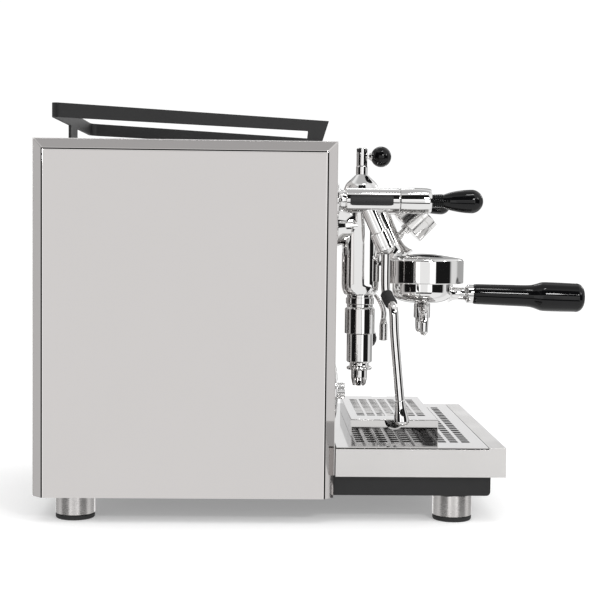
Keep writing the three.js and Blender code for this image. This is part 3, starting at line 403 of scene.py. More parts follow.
def side_panel(node, sign):
    def is_fold(edge):
        return edge.is_convex and min(f.calc_area() for f in edge.link_faces) > 900 * MM * MM

    bm = round_edges(joined_copy(node), FOLD, segments=6, sharper_than=20, only=is_fold)

    def outer_face():
        facing = [f for f in bm.faces if f.normal.x * sign > 0.999]
        return max(facing, key=lambda f: f.calc_area() + f.calc_center_median().x * sign)

    bmesh.ops.inset_region(bm, faces=[outer_face()], thickness=SEAM_INSET * MM, depth=0, use_even_offset=True)
    face = outer_face()
    top = max(v.co.z for v in face.verts)
    corners = [v for v in face.verts if v.co.z > top - 0.1 * MM]
    ends = [min(corners, key=lambda v: v.co.y), max(corners, key=lambda v: v.co.y)]
    bmesh.ops.bevel(
        bm, geom=ends, offset=SEAM_CORNER * MM, segments=8, profile=0.5, affect="VERTICES", material=-1
    )
    for depth in (-SEAM_DEPTH, SEAM_DEPTH):
        face = outer_face()
        bmesh.ops.inset_region(
            bm, faces=[face], thickness=SEAM_WIDTH * MM, depth=depth * MM, use_even_offset=True
        )
    return bm


for node, sign in (("side_panel_left", -1), ("side_panel_right", 1)):
    piece(side_panel(node, sign), f"polished_{node}", mirror_steel, "chassis", "mirror_steel", node)

# ------------------------------------------------------------------ front, back and top sheets
# Flat sheet between the side panels: the front mirror-polished like the sides, the back and the cup
# tray in a satin finish, with vents and warming slots stamped through.
satin_steel = finish("satin_steel", (0.66, 0.645, 0.638), 0.20, 0.32, (40, 2600, 2600), 0.5)
for node, material in (("front_panel", mirror_steel), ("back_panel", satin_steel), ("cup_tray", satin_steel)):
    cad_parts[node].data.materials.clear()
    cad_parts[node].data.materials.append(material)

# ------------------------------------------------------------------ cup rail
# A flat steel band bent round the cup tray and powder coated black.
rail = round_edges(joined_copy("cup_rail"), 0.5, segments=3, sharper_than=40)
piece(rail, "black_cup_rail", powder_black, "chassis", "black_coat", "cup_rail", crease=40)

# ------------------------------------------------------------------ water tank
# A clear moulded tank behind the boilers, filled through the lid in the cup tray.
tank_plastic = finish(
    "tank_plastic", (0.78, 0.85, 0.87), 0.12, 0.22, (300, 300, 300), 0.3, metallic=0, shade=0.92,
    Transmission_Weight=0.55
)
tank = round_edges(joined_copy("water_tank"), 1.2)
piece(tank, "moulded_tank", tank_plastic, "tank", "tank_plastic", "water_tank")
lid = round_edges(joined_copy("tank_lid"), 0.5)
piece(lid, "steel_tank_lid", satin_steel, "lid", "satin_steel", "tank_lid")

# ------------------------------------------------------------------ works inside the casing
# Boilers of plain stainless, an enamelled motor with a brass pump head, and a coated box for the
# electronics. They only show through the vents and slots.
boiler_steel = finish("boiler_steel", (0.55, 0.53, 0.51), 0.30, 0.5, (60, 60, 1800), 0.8)
motor_paint = finish(
    "motor_paint", (0.10, 0.11, 0.12), 0.4, 0.6, (900, 900, 900), 1.0, metallic=0.2, shade=0.7
)
cast_brass = finish("cast_brass", (0.72, 0.52, 0.24), 0.28, 0.45, (700, 700, 700), 0.8)
coated_box = finish("coated_box", (0.42, 0.43, 0.44), 0.4, 0.55, (1800, 1800, 1800), 0.6, metallic=0.1)
inlet_plastic = finish(
    "inlet_plastic", (0.016, 0.016, 0.017), 0.4, 0.55, (2000, 2000, 2000), 0.7, metallic=0, shade=0.7
)
inside = {
    "steam_boiler": boiler_steel,
    "brew_boiler": boiler_steel,
    "pump_motor": motor_paint,
    "rotary_pump": cast_brass,
    "control_box": coated_box,
    "power_inlet": inlet_plastic,
    "shower_screen": satin_steel,
}
for node, material in inside.items():
    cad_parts[node].data.materials.clear()
    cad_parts[node].data.materials.append(material)


# ------------------------------------------------------------------ brew group casting
# One brass casting, chrome plated: a neck through the front panel, an upright column ground flat on
# its two sides, a slanted arm and the bell that the portafilter locks into.
def fused(first, others=(), cutters=()):
    """One solid made of several, less the cutters."""
    work = []

    def hold(bm):
        mesh = bpy.data.meshes.new("work")
        bm.to_mesh(mesh)
        bm.free()
        held = bpy.data.objects.new("work", mesh)
        scene.collection.objects.link(held)
        work.append(held)
        return held

    base = hold(first)
    for parts, operation in ((others, "UNION"), (cutters, "DIFFERENCE")):
        for part in parts:
            step = base.modifiers.new("step", "BOOLEAN")
            step.operation = operation
            step.solver = "EXACT"
            step.object = hold(part)
    bpy.context.view_layer.update()
    made = bmesh.new()
    made.from_object(base, bpy.context.evaluated_depsgraph_get())
    for held in work:
        bpy.data.meshes.remove(held.data)
    bmesh.ops.remove_doubles(made, verts=made.verts, dist=0.003 * MM)
    return made


def brick(x, y, z):
    """A block between two limits on each axis, in metres."""
    bm = bmesh.new()
    bmesh.ops.create_cube(bm, size=1)
    scale = Matrix.Diagonal((x[1] - x[0], y[1] - y[0], z[1] - z[0], 1))
    centre = Matrix.Translation((sum(x) / 2, sum(y) / 2, sum(z) / 2))
    bmesh.ops.transform(bm, matrix=centre @ scale, verts=bm.verts)
    return bm


chrome = finish("chrome", (0.80, 0.795, 0.79), 0.02, 0.05, (700, 700, 700), 0.03, shade=0.97)
panel_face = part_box("front_panel")[0].y
column = middle("upper_sleeve")
bell = middle("shower_screen")
casting_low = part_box("group_body")[0].z
bell_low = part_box("portafilter")[1].z - 16 * MM
bell_r = 46.5
column_r = 21.3
FLAT = 17.5  # from the column's axis to its ground sides


def group_casting():
    post = turned(
        [
            (0, 0), (15, 0), (15, 3.2), (16.2, 3.8), (16.2, 10.4), (15, 11), (15, 13.4), (17.2, 13.8), (
                18.2, 14.6
            ),
            (19.1, 15.9), (20, 17.8), (20.7, 20.2), (21.1, 22.8), (column_r, 26), (column_r, 113),
            (21.0, 118), (20.4, 122.5), (19.8, 125.5), (19.2, 127.3), (18.6, 127.7), (0, 127.7),
        ],
        144,
    )
    for vert in post.verts:
        if 14 * MM < vert.co.z < 112 * MM and abs(vert.co.x) > FLAT * MM:
            vert.co.x = math.copysign(FLAT * MM, vert.co.x)
    stood(post, (0, column.y, casting_low))
    neck = turned(
        [
            (0, -18), (24, -18), (24, 0.3), (35, 0.3), (36, 1), (36, 4.6), (35.4, 5.4), (27, 6.6), (
                24.6, 8.4
            ),
            (22.4, 14), (21, 22), (20, 30), (0, 30),
        ]
    )
    stood(neck, (0, panel_face, 0.300), FORWARD)
    start = Vector((0, column.y - 14.5 * MM, 0.318))
    stop = Vector((0, bell.y + 29.8 * MM, bell_low + 27 * MM))
    run = (stop - start).length / MM
    lean = DOWN - math.atan2(start.y - stop.y, start.z - stop.z)
    arm = turned(
        [
            (0, -12.6), (6, -11.4), (10.5, -8), (13.2, -3.6), (14, 0), (13.8, run * 0.3), (13.4, run * 0.62),
            (13.9, run - 14), (15, run - 9), (17, run - 5), (20, run - 2), (20.6, run), (0, run),
        ],
        80,
    )
    stood(arm, start, lean)
    hood = turned(
        [
            (0, 26), (36, 26), (36, 16), (40.6, 16), (40.6, 7), (36, 7), (36, 0.8), (36.8, 0), (
                bell_r - 1.3, 0
            ),
            (bell_r - 0.4, 0.4), (bell_r, 1.3), (bell_r, 24.4), (bell_r - 0.2, 25.6), (bell_r - 0.9, 26.7),
            (bell_r - 2.2, 27.6), (bell_r - 4.5, 28.4),
            (38, 29.4), (30, 30.9), (20, 32.4), (10, 33.3), (0, 33.5),
        ],
        144,
    )
    stood(hood, (0, bell.y, bell_low))
    gates = []
    for turn in (-math.pi / 3, 2 * math.pi / 3):
        gate = brick((33 * MM, 40.6 * MM), (-10 * MM, 10 * MM), (-1 * MM, 8 * MM))
        spin = Matrix.Translation((0, bell.y, bell_low)) @ Matrix.Rotation(turn, 4, "Z")
        bmesh.ops.transform(gate, matrix=spin, verts=gate.verts)
        gates.append(gate)
    return fused(post, [neck, arm, hood], gates)


piece(group_casting(), "chromed_group", chrome, "chassis", "chrome", "group_body", crease=28)

# The domed cap on the column, and the exhaust below it: two turned sleeves and a slotted nozzle.
cap_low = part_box("mushroom_cap")[0].z
cap = [
    (0, 0), (19.6, 0), (20, 0.4), (20, 3.2), (19.7, 4.1), (19.1, 5.2), (18.5, 7), (17.4, 8.8), (15.6, 10.8)
]
cap += [(13.2, 13), (10.6, 15.4), (8.4, 17.6), (7.4, 18.4), (0, 18.4)]
piece(stood(turned(cap), (0, column.y, cap_low)), "chromed_cap", chrome, "chassis", "chrome", "mushroom_cap")

_, _, tall = size("upper_sleeve")
sleeve = [(0, 0), (16.8, 0), (17.2, 0.4), (17.2, tall - 1.6), (16.2, tall - 0.5), (15.4, tall), (0, tall)]
at = (0, column.y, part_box("upper_sleeve")[0].z)
piece(stood(turned(sleeve), at), "chromed_upper_sleeve", chrome, "chassis", "chrome", "upper_sleeve")

_, _, tall = size("lower_sleeve")
sleeve = [
    (0, 0), (13.6, 0), (14.4, 0.8), (14.6, 1.7), (14.3, 2.7), (13.4, 3.5), (11.4, 4.3), (11, 5), (11, 7.3)
]
sleeve += [(13.6, 8.2), (14.5, 9), (14.7, 10), (14.7, tall - 0.5), (14.3, tall), (0, tall)]
at = (0, column.y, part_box("lower_sleeve")[0].z)
piece(stood(turned(sleeve), at), "chromed_lower_sleeve", chrome, "chassis", "chrome", "lower_sleeve")

_, _, tall = size("drain_nozzle")
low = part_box("drain_nozzle")[0].z
body = [
    (0, 9), (5.2, 9), (5.2, 0.4), (5.6, 0), (6.8, 0), (7.2, 0.4), (7.9, 3), (8.7, 6.4), (9.15, 8.6),
    (9.3, 9.8)
]
body += [(9.3, tall - 0.5), (8.8, tall), (0, tall)]
slits = []
for turn in (20, 80, 140):
    slit = brick((-12 * MM, 12 * MM), (-1.1 * MM, 1.1 * MM), (-1 * MM, 8.2 * MM))
    spin = Matrix.Translation((0, column.y, low)) @ Matrix.Rotation(math.radians(turn), 4, "Z")
    bmesh.ops.transform(slit, matrix=spin, verts=slit.verts)
    slits.append(slit)
nozzle = fused(stood(turned(body), (0, column.y, low)), cutters=slits)
piece(nozzle, "slotted_nozzle", chrome, "chassis", "chrome", "drain_nozzle")

# ------------------------------------------------------------------ flow control
# A chromed spindle through the cap, slotted across its top, turned by a black ball on a short stem.
black_gloss = finish(
    "black_thermoset", (0.0035, 0.0035, 0.004), 0.03, 0.08, (500, 500, 500), 0.03, metallic=0, shade=0.6,
    Specular_IOR_Level=0.3
)
low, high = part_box("flow_control_post")
tall = (high.z - low.z) / MM
spindle = [
    (0, 0), (6.2, 0), (6.65, 0.5), (6.65, 9), (6.4, 9.6), (6.2, 10.2), (6.2, tall - 1.4), (5.7, tall - 0.4)
]
spindle += [(4.6, tall), (0, tall)]
slot = brick(
    (-10 * MM, 10 * MM), (column.y - 0.9 * MM, column.y + 0.9 * MM), (high.z - 1.6 * MM, high.z + MM)
)
spindle = fused(stood(turned(spindle, 64), (0, column.y, low.z)), cutters=[slot])
piece(spindle, "flow_spindle", chrome, "flow_paddle", "chrome", "flow_control_post")

low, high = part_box("flow_control_ball")
ball_r = (high.x - low.x) / 2 / MM
centre = Vector((0, low.y + ball_r * MM, (low.z + high.z) / 2))
reach = (high.y - centre.y) / MM
grip = [(0, -ball_r), *arc(0, 0, ball_r, -84, 84, 28), (0, ball_r)]
piece(
    stood(turned(grip, 64), centre, FORWARD), "flow_ball", black_gloss, "flow_paddle", "black_gloss",
    "flow_control_ball"
)
stem = [
    (0, -reach), (2.9, -reach), (2.7, -reach + 1), (2.9, -13.6), (3.6, -12.4), (5, -10.8), (5.2, -9),
    (0, -9)
]
piece(stood(turned(stem, 48), centre, FORWARD), "flow_ball_stem", chrome, "flow_paddle", "chrome")

# ------------------------------------------------------------------ pressure gauge
# A turned case on a short stem that screws into the arm, a white enamel dial printed with a plain
# scale, a black pointer and a flat glass.
GAUGE_TILT = math.pi / 4
case_steel = finish("gauge_steel", (0.80, 0.79, 0.78), 0.14, 0.20, (120, 120, 4200), 0.3, tilt=-GAUGE_TILT)
gauge_front = middle("gauge_lens")
case_long = 26.4
case_r = 21
glass_low = 24.0
axis = Vector((0, -math.sin(GAUGE_TILT), math.cos(GAUGE_TILT)))
gauge = gauge_front - axis * (glass_low + 0.8) * MM
case = [
    (0, -14), (4.5, -14), (4.5, -10.5), (3.5, -9.5), (3.5, -4.2), (6, -3.6), (6, -0.4), (6.4, 0), (19.4, 0), (
        20.6, 0.5
    ),
    (case_r, 1.4), (case_r, 18.2), (20.7, 18.5), (20.7, 18.9), (case_r, 19.2), (case_r, 25.2), (20.7, 26),
    (20, case_long), (19.3, case_long), (18.9, 26), (18.9, 19.4), (0, 19.4),
]
piece(
    stood(turned(case), gauge, GAUGE_TILT), "gauge_housing", case_steel, "chassis", "turned_steel",
    "gauge_case"
)

enamel = finish("dial_enamel", (0.86, 0.86, 0.84), 0.35, 0.5, (1400, 1400, 1400), 0.2, metallic=0, shade=0.96)
dial = turned([(0, 19.5), (18.5, 19.5), (18.5, 19.8), (0, 19.8)])
piece(stood(dial, gauge, GAUGE_TILT), "gauge_dial", enamel, "chassis", "turned_steel")

scale_ink = finish(
    "scale_ink", (0.012, 0.012, 0.013), 0.45, 0.6, (2500, 2500, 2500), 0.3, metallic=0, shade=0.7
)
scale = bmesh.new()
MARKS = 32
for mark in range(MARKS + 1):
    long = 3.2 if mark % 4 == 0 else 1.8
    wide = 0.35 if mark % 4 == 0 else 0.2
    tick = Matrix.Rotation(math.radians(135 - 270 * mark / MARKS), 4, "Z") @ Matrix.Translation(
        (0, (17 - long / 2) * MM, 19.86 * MM)
    )
    bmesh.ops.create_cube(scale, size=1, matrix=tick @ Matrix.Diagonal((wide * MM, long * MM, 0.1 * MM, 1)))
piece(stood(scale, gauge, GAUGE_TILT), "gauge_scale", scale_ink, "chassis", "needle_paint")

pointer = turned([(0, 20.3), (2.4, 20.3), (2.4, 21.4), (2, 21.8), (0, 21.8)], 32)
blade = bmesh.new()
bmesh.ops.create_cone(blade, cap_ends=True, segments=4, radius1=1.3 * MM, radius2=0.35 * MM, depth=19 * MM)
flatten = Matrix.Translation((0, 5.5 * MM, 20.8 * MM)) @ Matrix.Diagonal((1, 1, 0.3, 1)) @ Matrix.Rotation(
    -math.pi / 2, 4, "X"
)
bmesh.ops.transform(blade, matrix=Matrix.Rotation(3 * math.pi / 4, 4, "Z") @ flatten, verts=blade.verts)
bmesh.ops.recalc_face_normals(blade, faces=blade.faces)
pointer = fused(pointer, [blade])
piece(
    stood(pointer, gauge, GAUGE_TILT), "gauge_pointer", scale_ink, "gauge_pointer", "needle_paint",
    "gauge_needle"
)

glass = bpy.data.materials.new("gauge_glass")
glass.use_nodes = True
clear = glass.node_tree.nodes["Principled BSDF"]
clear.inputs["Transmission Weight"].default_value = 1
clear.inputs["Base Color"].default_value = (0.96, 0.98, 0.98, 1)
clear.inputs["IOR"].default_value = 1.46
place = put(glass.node_tree, "ShaderNodeTexCoord").outputs["Object"]
smear = put(glass.node_tree, "ShaderNodeTexNoise", {"Vector": place, "Scale": 60.0})
dull = put(glass.node_tree, "ShaderNodeMapRange", {"Value": smear.outputs[0], "To Min": 0.0, "To Max": 0.06})
glass.node_tree.links.new(dull.outputs[0], clear.inputs["Roughness"])
lens = turned([(0, 0), (18.2, 0), (18.6, 0.3), (18.6, 1.2), (18.2, 1.6), (9, 1.6), (0, 1.6)])
stood(lens, gauge + axis * glass_low * MM, GAUGE_TILT)
piece(lens, "gauge_glass", glass, "chassis", "clear_glass", "gauge_lens")

# ------------------------------------------------------------------ brew lever
# A chromed rod in a cam boss beside the arm, with a long black knob at its lower end.
lever = joined_copy("brew_lever")
round_edges(lever, 0.5, segments=2, sharper_than=50)
piece(lever, "chromed_lever", chrome, "brew_handle", "chrome", "brew_lever", crease=40)

knob = round_edges(joined_copy("brew_lever_knob"), 0.8, 3, 50)
piece(knob, "lever_knob", black_gloss, "brew_handle", "black_gloss", "brew_lever_knob", crease=50)

# ------------------------------------------------------------------ portafilter
# A heavy chromed bowl with two locking ears, a waisted neck with a stop ring, and a long tapered
# handle of black thermoset that droops slightly.
HANDLE_DROOP = 0.026
bowl_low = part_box("portafilter")[0].z
handle = Vector((0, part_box("portafilter_handle")[1].y, 0.2239))


def bowl_casting():
    bowl = turned(
        [
            (0, 6.5), (9, 6.5), (9, 0.3), (10, 0), (13, 0.1), (18, 0.7), (23, 1.7), (27, 3.2), (30, 5), (
                32.2, 7.2
            ),
            (33.5, 9.6), (34.2, 12.2), (34.5, 15.2), (34.5, 31.6), (34.1, 32), (30.8, 32), (30.8, 6.5),
        ],
        144,
    )
    stood(bowl, (0, bell.y, bowl_low))
    ears = []
    for side in (-1, 1):
        ear = brick((side * 32 * MM, side * 39.2 * MM), (-9 * MM, 9 * MM), (24 * MM, 30 * MM))
        bmesh.ops.recalc_face_normals(ear, faces=ear.faces)
        round_edges(ear, 1.2)
        ears.append(stood(ear, (0, bell.y, bowl_low)))
    neck = turned(
        [
            (0, -27.5), (11.6, -27.5), (10, -26.2), (8.4, -24.2), (7.5, -22), (7, -19.5), (6.8, -16), (
                6.8, -12
            ),
            (7.1, -10), (7.7, -8.6), (8.8, -7.6), (9.8, -7), (10.3, -6.3), (10.4, -5.4), (10.4, -0.6),
            (10, 0), (0, 0),
        ],
        64,
    )
    stood(neck, handle, FORWARD + HANDLE_DROOP)
    return fused(bowl, [*ears, neck])


piece(bowl_casting(), "portafilter_bowl", chrome, "portafilter_set", "chrome", "portafilter", crease=30)

basket = joined_copy("filter_basket")
piece(basket, "pressed_basket", satin_steel, "portafilter_set", "satin_steel", "filter_basket")

long = size("portafilter_handle").y
grip = [
    (0, 0), (9.4, 0), (10.4, 0.3), (11, 1.2), (11.25, 3), (11.4, 10), (11.6, 24), (11.85, 40), (11.95, 52), (
        12.2, 61
    ),
    (12.8, 66), (14.2, 71), (15.6, 75), (16.2, 78), (16.35, 81), (16.4, 88),
]


def smooth_profile(points, steps=4):
    """Points on a smooth curve through the given ones."""
    ends = [points[0], *points, points[-1]]
    result = [points[0]]
    for a, b, c, d in zip(ends, ends[1:], ends[2:], ends[3:]):
        for i in range(1, steps + 1):
            t = i / steps
            result.append(
                tuple(
                    0.5
                    * (
                        2 * q
                        + (r - p) * t
                        + (2 * p - 5 * q + 4 * r - s) * t * t
                        + (3 * q - p - 3 * r + s) * t**3
                    )
                    for p, q, r, s in zip(a, b, c, d)
                )
            )
    return result


grip_end = long - 0.2
grip = [
    (0, 0), *smooth_profile(grip[1:]), (16.3, 100), (16.0, grip_end - 9.4),
    *arc(7.2, grip_end - 9, 9, 0, 78, 9), (4, grip_end - 0.1)
]
grip += [(0, grip_end)]
piece(
    stood(turned(grip), handle, FORWARD + HANDLE_DROOP),
    "thermoset_handle",
    black_gloss,
    "portafilter_set",
    "black_gloss",
    "portafilter_handle",
    crease=50,
)


# The double spout: a threaded boss and two curved branches, one to each side.
def tube(points, radius, sides=40, steps=8):
    """A round rod that follows a smooth line through points in metres. radius is one number, or a
    function of the length along the line from 0 to 1."""
    line = smooth_profile([tuple(p) for p in points], steps)
    line = [Vector(p) for p in line]
    bm = bmesh.new()
    away = [(b - a).normalized() for a, b in zip(line, line[1:])]
    along = [away[0], *((a + b).normalized() for a, b in zip(away, away[1:])), away[-1]]
    total = sum((b - a).length for a, b in zip(line, line[1:]))
    rings, gone = [], 0.0
    facing = along[0].orthogonal().normalized()
    for i, (at, direction) in enumerate(zip(line, along)):
        if i:
            gone += (line[i] - line[i - 1]).length
            facing = (facing - direction * facing.dot(direction)).normalized()
        r = radius(gone / total) if callable(radius) else radius
        matrix = Matrix((facing, direction.cross(facing), direction)).transposed().to_4x4()
        matrix.translation = at
        ring = bmesh.ops.create_circle(bm, segments=sides, radius=r * MM, matrix=matrix)["verts"]
        rings.append(ring)
    for a, b in zip(rings, rings[1:]):
        edges = [e for e in {e for v in a + b for e in v.link_edges} if len(e.link_faces) < 2]
        edges = [
            e
            for e in edges
            if (e.verts[0] in a and e.verts[1] in a) or (e.verts[0] in b and e.verts[1] in b)
        ]
        bmesh.ops.bridge_loops(bm, edges=edges)
    for ring in (rings[0], rings[-1]):
        loop = [
            e for e in {e for v in ring for e in v.link_edges} if e.verts[0] in ring and e.verts[1] in ring
        ]
        bmesh.ops.contextual_create(bm, geom=loop)
    bmesh.ops.recalc_face_normals(bm, faces=bm.faces)
    return bm


spout_side = 22


def spout_casting():
    boss = turned([(0, 0), (8.4, 0), (9.5, 1), (9.5, 15.4), (9, 16.4), (0, 16.4)], 64)
    stood(boss, (0, bell.y, bowl_low - 16.9 * MM))
    horns = []
    for side in (-1, 1):
        route = [
            (2, 210), (9, 208), (17, 202.5), (spout_side, 194), (spout_side + 0.6, 187),
            (spout_side + 0.6, 183.2)
        ]
        points = [(side * x * MM, bell.y, z * MM) for x, z in route]
        horns.append(tube(points, lambda t: 5.4 - 0.9 * t**2))
        tip = turned([(0, -4.4), *arc(0, 0, 4.45, -80, 80, 12), (0, 4.4)], 40)
        horns.append(stood(tip, points[-1]))
    return fused(boss, horns)


piece(spout_casting(), "chromed_spout", chrome, "portafilter_set", "chrome", "double_spout", crease=40)

# ------------------------------------------------------------------ steam and water valves
# Two chromed bodies, one at each side of the group. Each has a thick pipe back to the casing, a
# barrel collar round a black joystick with a ribbed neck, and an angled union round a ball joint.
ball_centre = {side: middle(f"{side}_wand_ball") for side in ("steam", "water")}
VALVE_Z = ball_centre["steam"].z + 47.7 * MM
valve_end = ball_centre["steam"].y - 13.3 * MM  # where body and collar meet
pivot = valve_end - 24 * MM  # centre of the joystick's ball
BRANCH_TILT = math.radians(25)
# Painted reflection: the valve field's black stands in for the dark surroundings that its polished recess
# mirrors.
painted_reflection_black = finish(
    "painted_reflection_field", (0.010, 0.010, 0.011), 0.30, 0.45, (2200, 2200, 2200), 0.8, metallic=0, shade=0.6
)


def valve_body(side, x):
    reach = (panel_face - valve_end) / MM
    pipe = turned(
        [
            (0, -6), (8.8, -6), (8.8, 0.3), (16.4, 0.3), (17, 0.9), (17, 2.2), (16.2, 3), (12.4, 3.9),
            (10.7, 5), (10, 7),
            (10, 9.4), (11.5, 10.2), (12.3, 10.9), (12.6, 11.9), (12.6, reach - 1.2), (12.3, reach - 0.4), (
                11.8, reach
            ),
            (0, reach),
        ],
        96,
    )
    stood(pipe, (x, panel_face, VALVE_Z), FORWARD)
    branch = turned([(0, -24), (8.3, -24), (8.3, 3), (6.3, 3), (6.3, 7), (0, 7)], 64)
    above = 21 * MM
    top = ball_centre[side] + Vector((0, math.sin(BRANCH_TILT), math.cos(BRANCH_TILT))) * above
    stood(branch, (x, top.y, top.z), DOWN - BRANCH_TILT)
    mouth = (valve_end + 9.6 * MM, VALVE_Z + 12.6 * MM)
    hole = turned([(0, -3), (1.8, -3), (1.8, 2), (0, 2)], 32)
    stood(hole, (x, *mouth))
    return fused(pipe, [branch], [hole])


def label_field(x, sign):
    """A blank curved plate let into the outer side of a valve body. Its black is a painted reflection: it
    stands in for the dark that the polished recess mirrors.
    """
    bm = bmesh.new()
    bmesh.ops.create_grid(bm, x_segments=24, y_segments=16, size=1)
    for vert in bm.verts:
        along, round_it = vert.co.x, vert.co.y
        squeeze = 1 - 0.2 * abs(along) ** 16
        angle = round_it * math.radians(25) * squeeze
        y = (valve_end + 29.3 * MM) - along * 22 * MM
        r = 12.66 * MM
        vert.co = (x + sign * r * math.cos(angle), y, VALVE_Z + r * math.sin(angle))
    bmesh.ops.recalc_face_normals(bm, faces=bm.faces)
    bmesh.ops.solidify(bm, geom=bm.faces[:], thickness=0.5 * MM)
    bmesh.ops.recalc_face_normals(bm, faces=bm.faces)
    return bm


def ribbed_joystick():
    profile = [(0, -6.8), *arc(0, 0, 6.8, -84, -10, 8), (6.9, 1), (6.9, 5.4)]
    for rib in range(7):
        z = 6 + rib * 2.1
        profile += [(6.3, z), (6.25, z + 0.5), (6.95, z + 0.95), (6.98, z + 1.4), (6.4, z + 1.8)]
    profile += smooth_profile(
        [(6.6, 21), (7.3, 22.4), (8.2, 25), (9.5, 29), (10.8, 35.5), (11.7, 42), (12.15, 48.6)]
    )
    return [*profile, *arc(0, 49.8, 12.2, 4, 86, 14), (0, 62)]


for side, sign in (("steam", -1), ("water", 1)):
    x = ball_centre[side].x
    piece(valve_body(side, x), f"{side}_chromed_valve", chrome, "chassis", "chrome", f"{side}_valve_body")
    # The valve field is coloured black as a painted reflection.
    piece(label_field(x, sign), f"{side}_valve_field", painted_reflection_black, "chassis", "black_moulding")

    collar = [
        (0, 0.3), (12.2, 0.3), (12.6, 0.8), (12.8, 3), (13.1, 8), (13.4, 17), (13.3, 23), (13, 28),
        (12.5, 31)
    ]
    collar += [(12, 32.1), (11.2, 32.3), (10.4, 32.1), (9.9, 31.2), (7.5, 24), (7.4, 15.3), (0, 15.3)]
    collar = stood(turned(collar), (x, valve_end, VALVE_Z), FORWARD)
    piece(collar, f"{side}_chromed_collar", chrome, "chassis", "chrome", f"{side}_valve_collar")

    stick = stood(turned(ribbed_joystick(), 80), (x, pivot, VALVE_Z), FORWARD)
    name = f"{side}_joystick"
    piece(stick, f"{name}_grip", black_gloss, name, "black_gloss", f"{side}_knob", crease=50)

    nut = [
        (6.6, -17), (9.3, -17), (9.7, -16.7), (10, -16.2), (10, -2.4), (9.6, -2), (9.6, -1.5), (10, -1.1),
        (10, 1.8)
    ]
    nut += [(9.2, 2.9), (8.2, 3.4), (7.4, 3.2), (6.85, 2.6), (7.4, 0.6), (7.4, -8), (6.6, -8), (6.6, -17)]
    nut = stood(turned(nut, 80), ball_centre[side], DOWN - BRANCH_TILT)
    piece(nut, f"{side}_union_nut", chrome, "chassis", "chrome", f"{side}_wand_nut")
    ball = stood(turned([(0, -7), *arc(0, 0, 7, -84, 84, 20), (0, 7)], 64), ball_centre[side])
    piece(ball, f"{side}_joint_ball", chrome, f"{side}_swivel", "chrome", f"{side}_wand_ball")

# ------------------------------------------------------------------ steam wand
# A polished tube that bends forward below its ball joint, with a ribbed rubber grip over the bend and
# a screwed-on tip with four jets.
wand_steel = finish("wand_steel", (0.80, 0.79, 0.785), 0.04, 0.09, (1500, 1500, 30), 0.08, shade=0.95)
WAND_OUT = 23


def below(side, forward, drop, out=0.0):
    """The point so far forward of a wand's ball, below it and further left, in millimetres."""
    return ball_centre[side] + Vector((-out, -forward, -drop)) * MM


bend = [below("steam", *p) for p in ((1, 47.7, 0.5), (2.3, 51.7, 5), (3.9, 55, 10.5), (5.5, 58.3, 16))]
head = [below("steam", *p) for p in ((0, 7.3), (0, 16), (0, 27.5), (0.2, 40))]
tail = [(6.6, 63, 20.5), (7.1, 70, WAND_OUT - 0.6), (8.5, 93.5, WAND_OUT), (14.5, 155, WAND_OUT)]
wand = tube([*head, *bend, *[below("steam", *p) for p in tail]], 4.7)
piece(wand, "bent_wand", wand_steel, "steam_arm", "wand_steel", "steam_wand")


def ribs(t):
    wave = abs(math.sin(math.pi * t * 6.5))
    end = min(1.0, t / 0.06, (1 - t) / 0.06)
    return 5.3 + 0.4 * end + 0.7 * wave**0.6 * end


grip = tube(bend, ribs, sides=48, steps=28)
piece(grip, "ribbed_grip", pad_rubber, "steam_arm", "rubber", "steam_wand_grip", crease=60)

tip = [
    (0, 0.3), (4.7, 0.3), (4.95, 0.7), (5, 3), (5.2, 6), (5.7, 9), (6.4, 12), (7.1, 15.4), (7.5, 18),
    (7.6, 20)
]
tip += [(7.6, 21.2), *arc(3.4, 21.4, 4.2, 4, 84, 8), (0, 25.6)]
end = below("steam", 14.5, 155, WAND_OUT)
lean = DOWN - math.atan2(6, 61.5)
jets = []
for turn in range(4):
    jet = turned([(0, 23.4), (0.7, 23.4), (0.7, 32), (0, 32)], 16)
    spin = Matrix.Rotation(math.radians(45 + 90 * turn), 4, "Z") @ Matrix.Translation((4.2 * MM, 0, 0))
    bmesh.ops.transform(jet, matrix=spin, verts=jet.verts)
    jets.append(stood(jet, end, lean))
tip = fused(stood(turned(tip, 64), end, lean), cutters=jets)
piece(tip, "jetted_tip", chrome, "steam_arm", "chrome", "steam_tip")

# ------------------------------------------------------------------ hot water outlet
# A thin bent tube with a straight brushed nozzle.
route = [(0, 7.3), (0, 20), (0, 33.5), (4.3, 51.5), (15.3, 68.5), (20.3, 81.5), (20.3, 90.2)]
spout = tube([below("water", *p) for p in route], 3.4)
piece(spout, "bent_outlet", wand_steel, "water_arm", "wand_steel", "water_wand")

nozzle_steel = finish("nozzle_steel", (0.74, 0.73, 0.72), 0.15, 0.22, (200, 200, 4200), 0.3)
nozzle = [
    (0, -20), (3.6, -20), (3.6, -26), (4.5, -26.4), (5, -25.9), (5, -7.2), (4.6, -5.6), (3.9, -3), (3.4, 0),
    (0, 0)
]
at = (*middle("water_nozzle").xy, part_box("water_nozzle")[1].z)
piece(
    stood(turned(nozzle, 64), at), "outlet_nozzle", nozzle_steel, "water_arm", "turned_steel",
    "water_nozzle"
)

# ------------------------------------------------------------------ selector
# A low domed plate on the front panel with a fluted knob at its middle.
dial = middle("dial_plate")
plate = [
    (4, 0.3), (30.9, 0.3), (31.5, 0.9), (31.4, 1.6), (30.6, 2.2), (28, 3), (24, 3.9), (18, 4.8), (12, 5.3)
]
plate += [(11.4, 5.4), (4, 5.4), (4, 0.3)]
at = Vector((dial.x, panel_face, dial.z))
piece(stood(turned(plate), at, FORWARD), "domed_plate", chrome, "chassis", "chrome", "dial_plate")

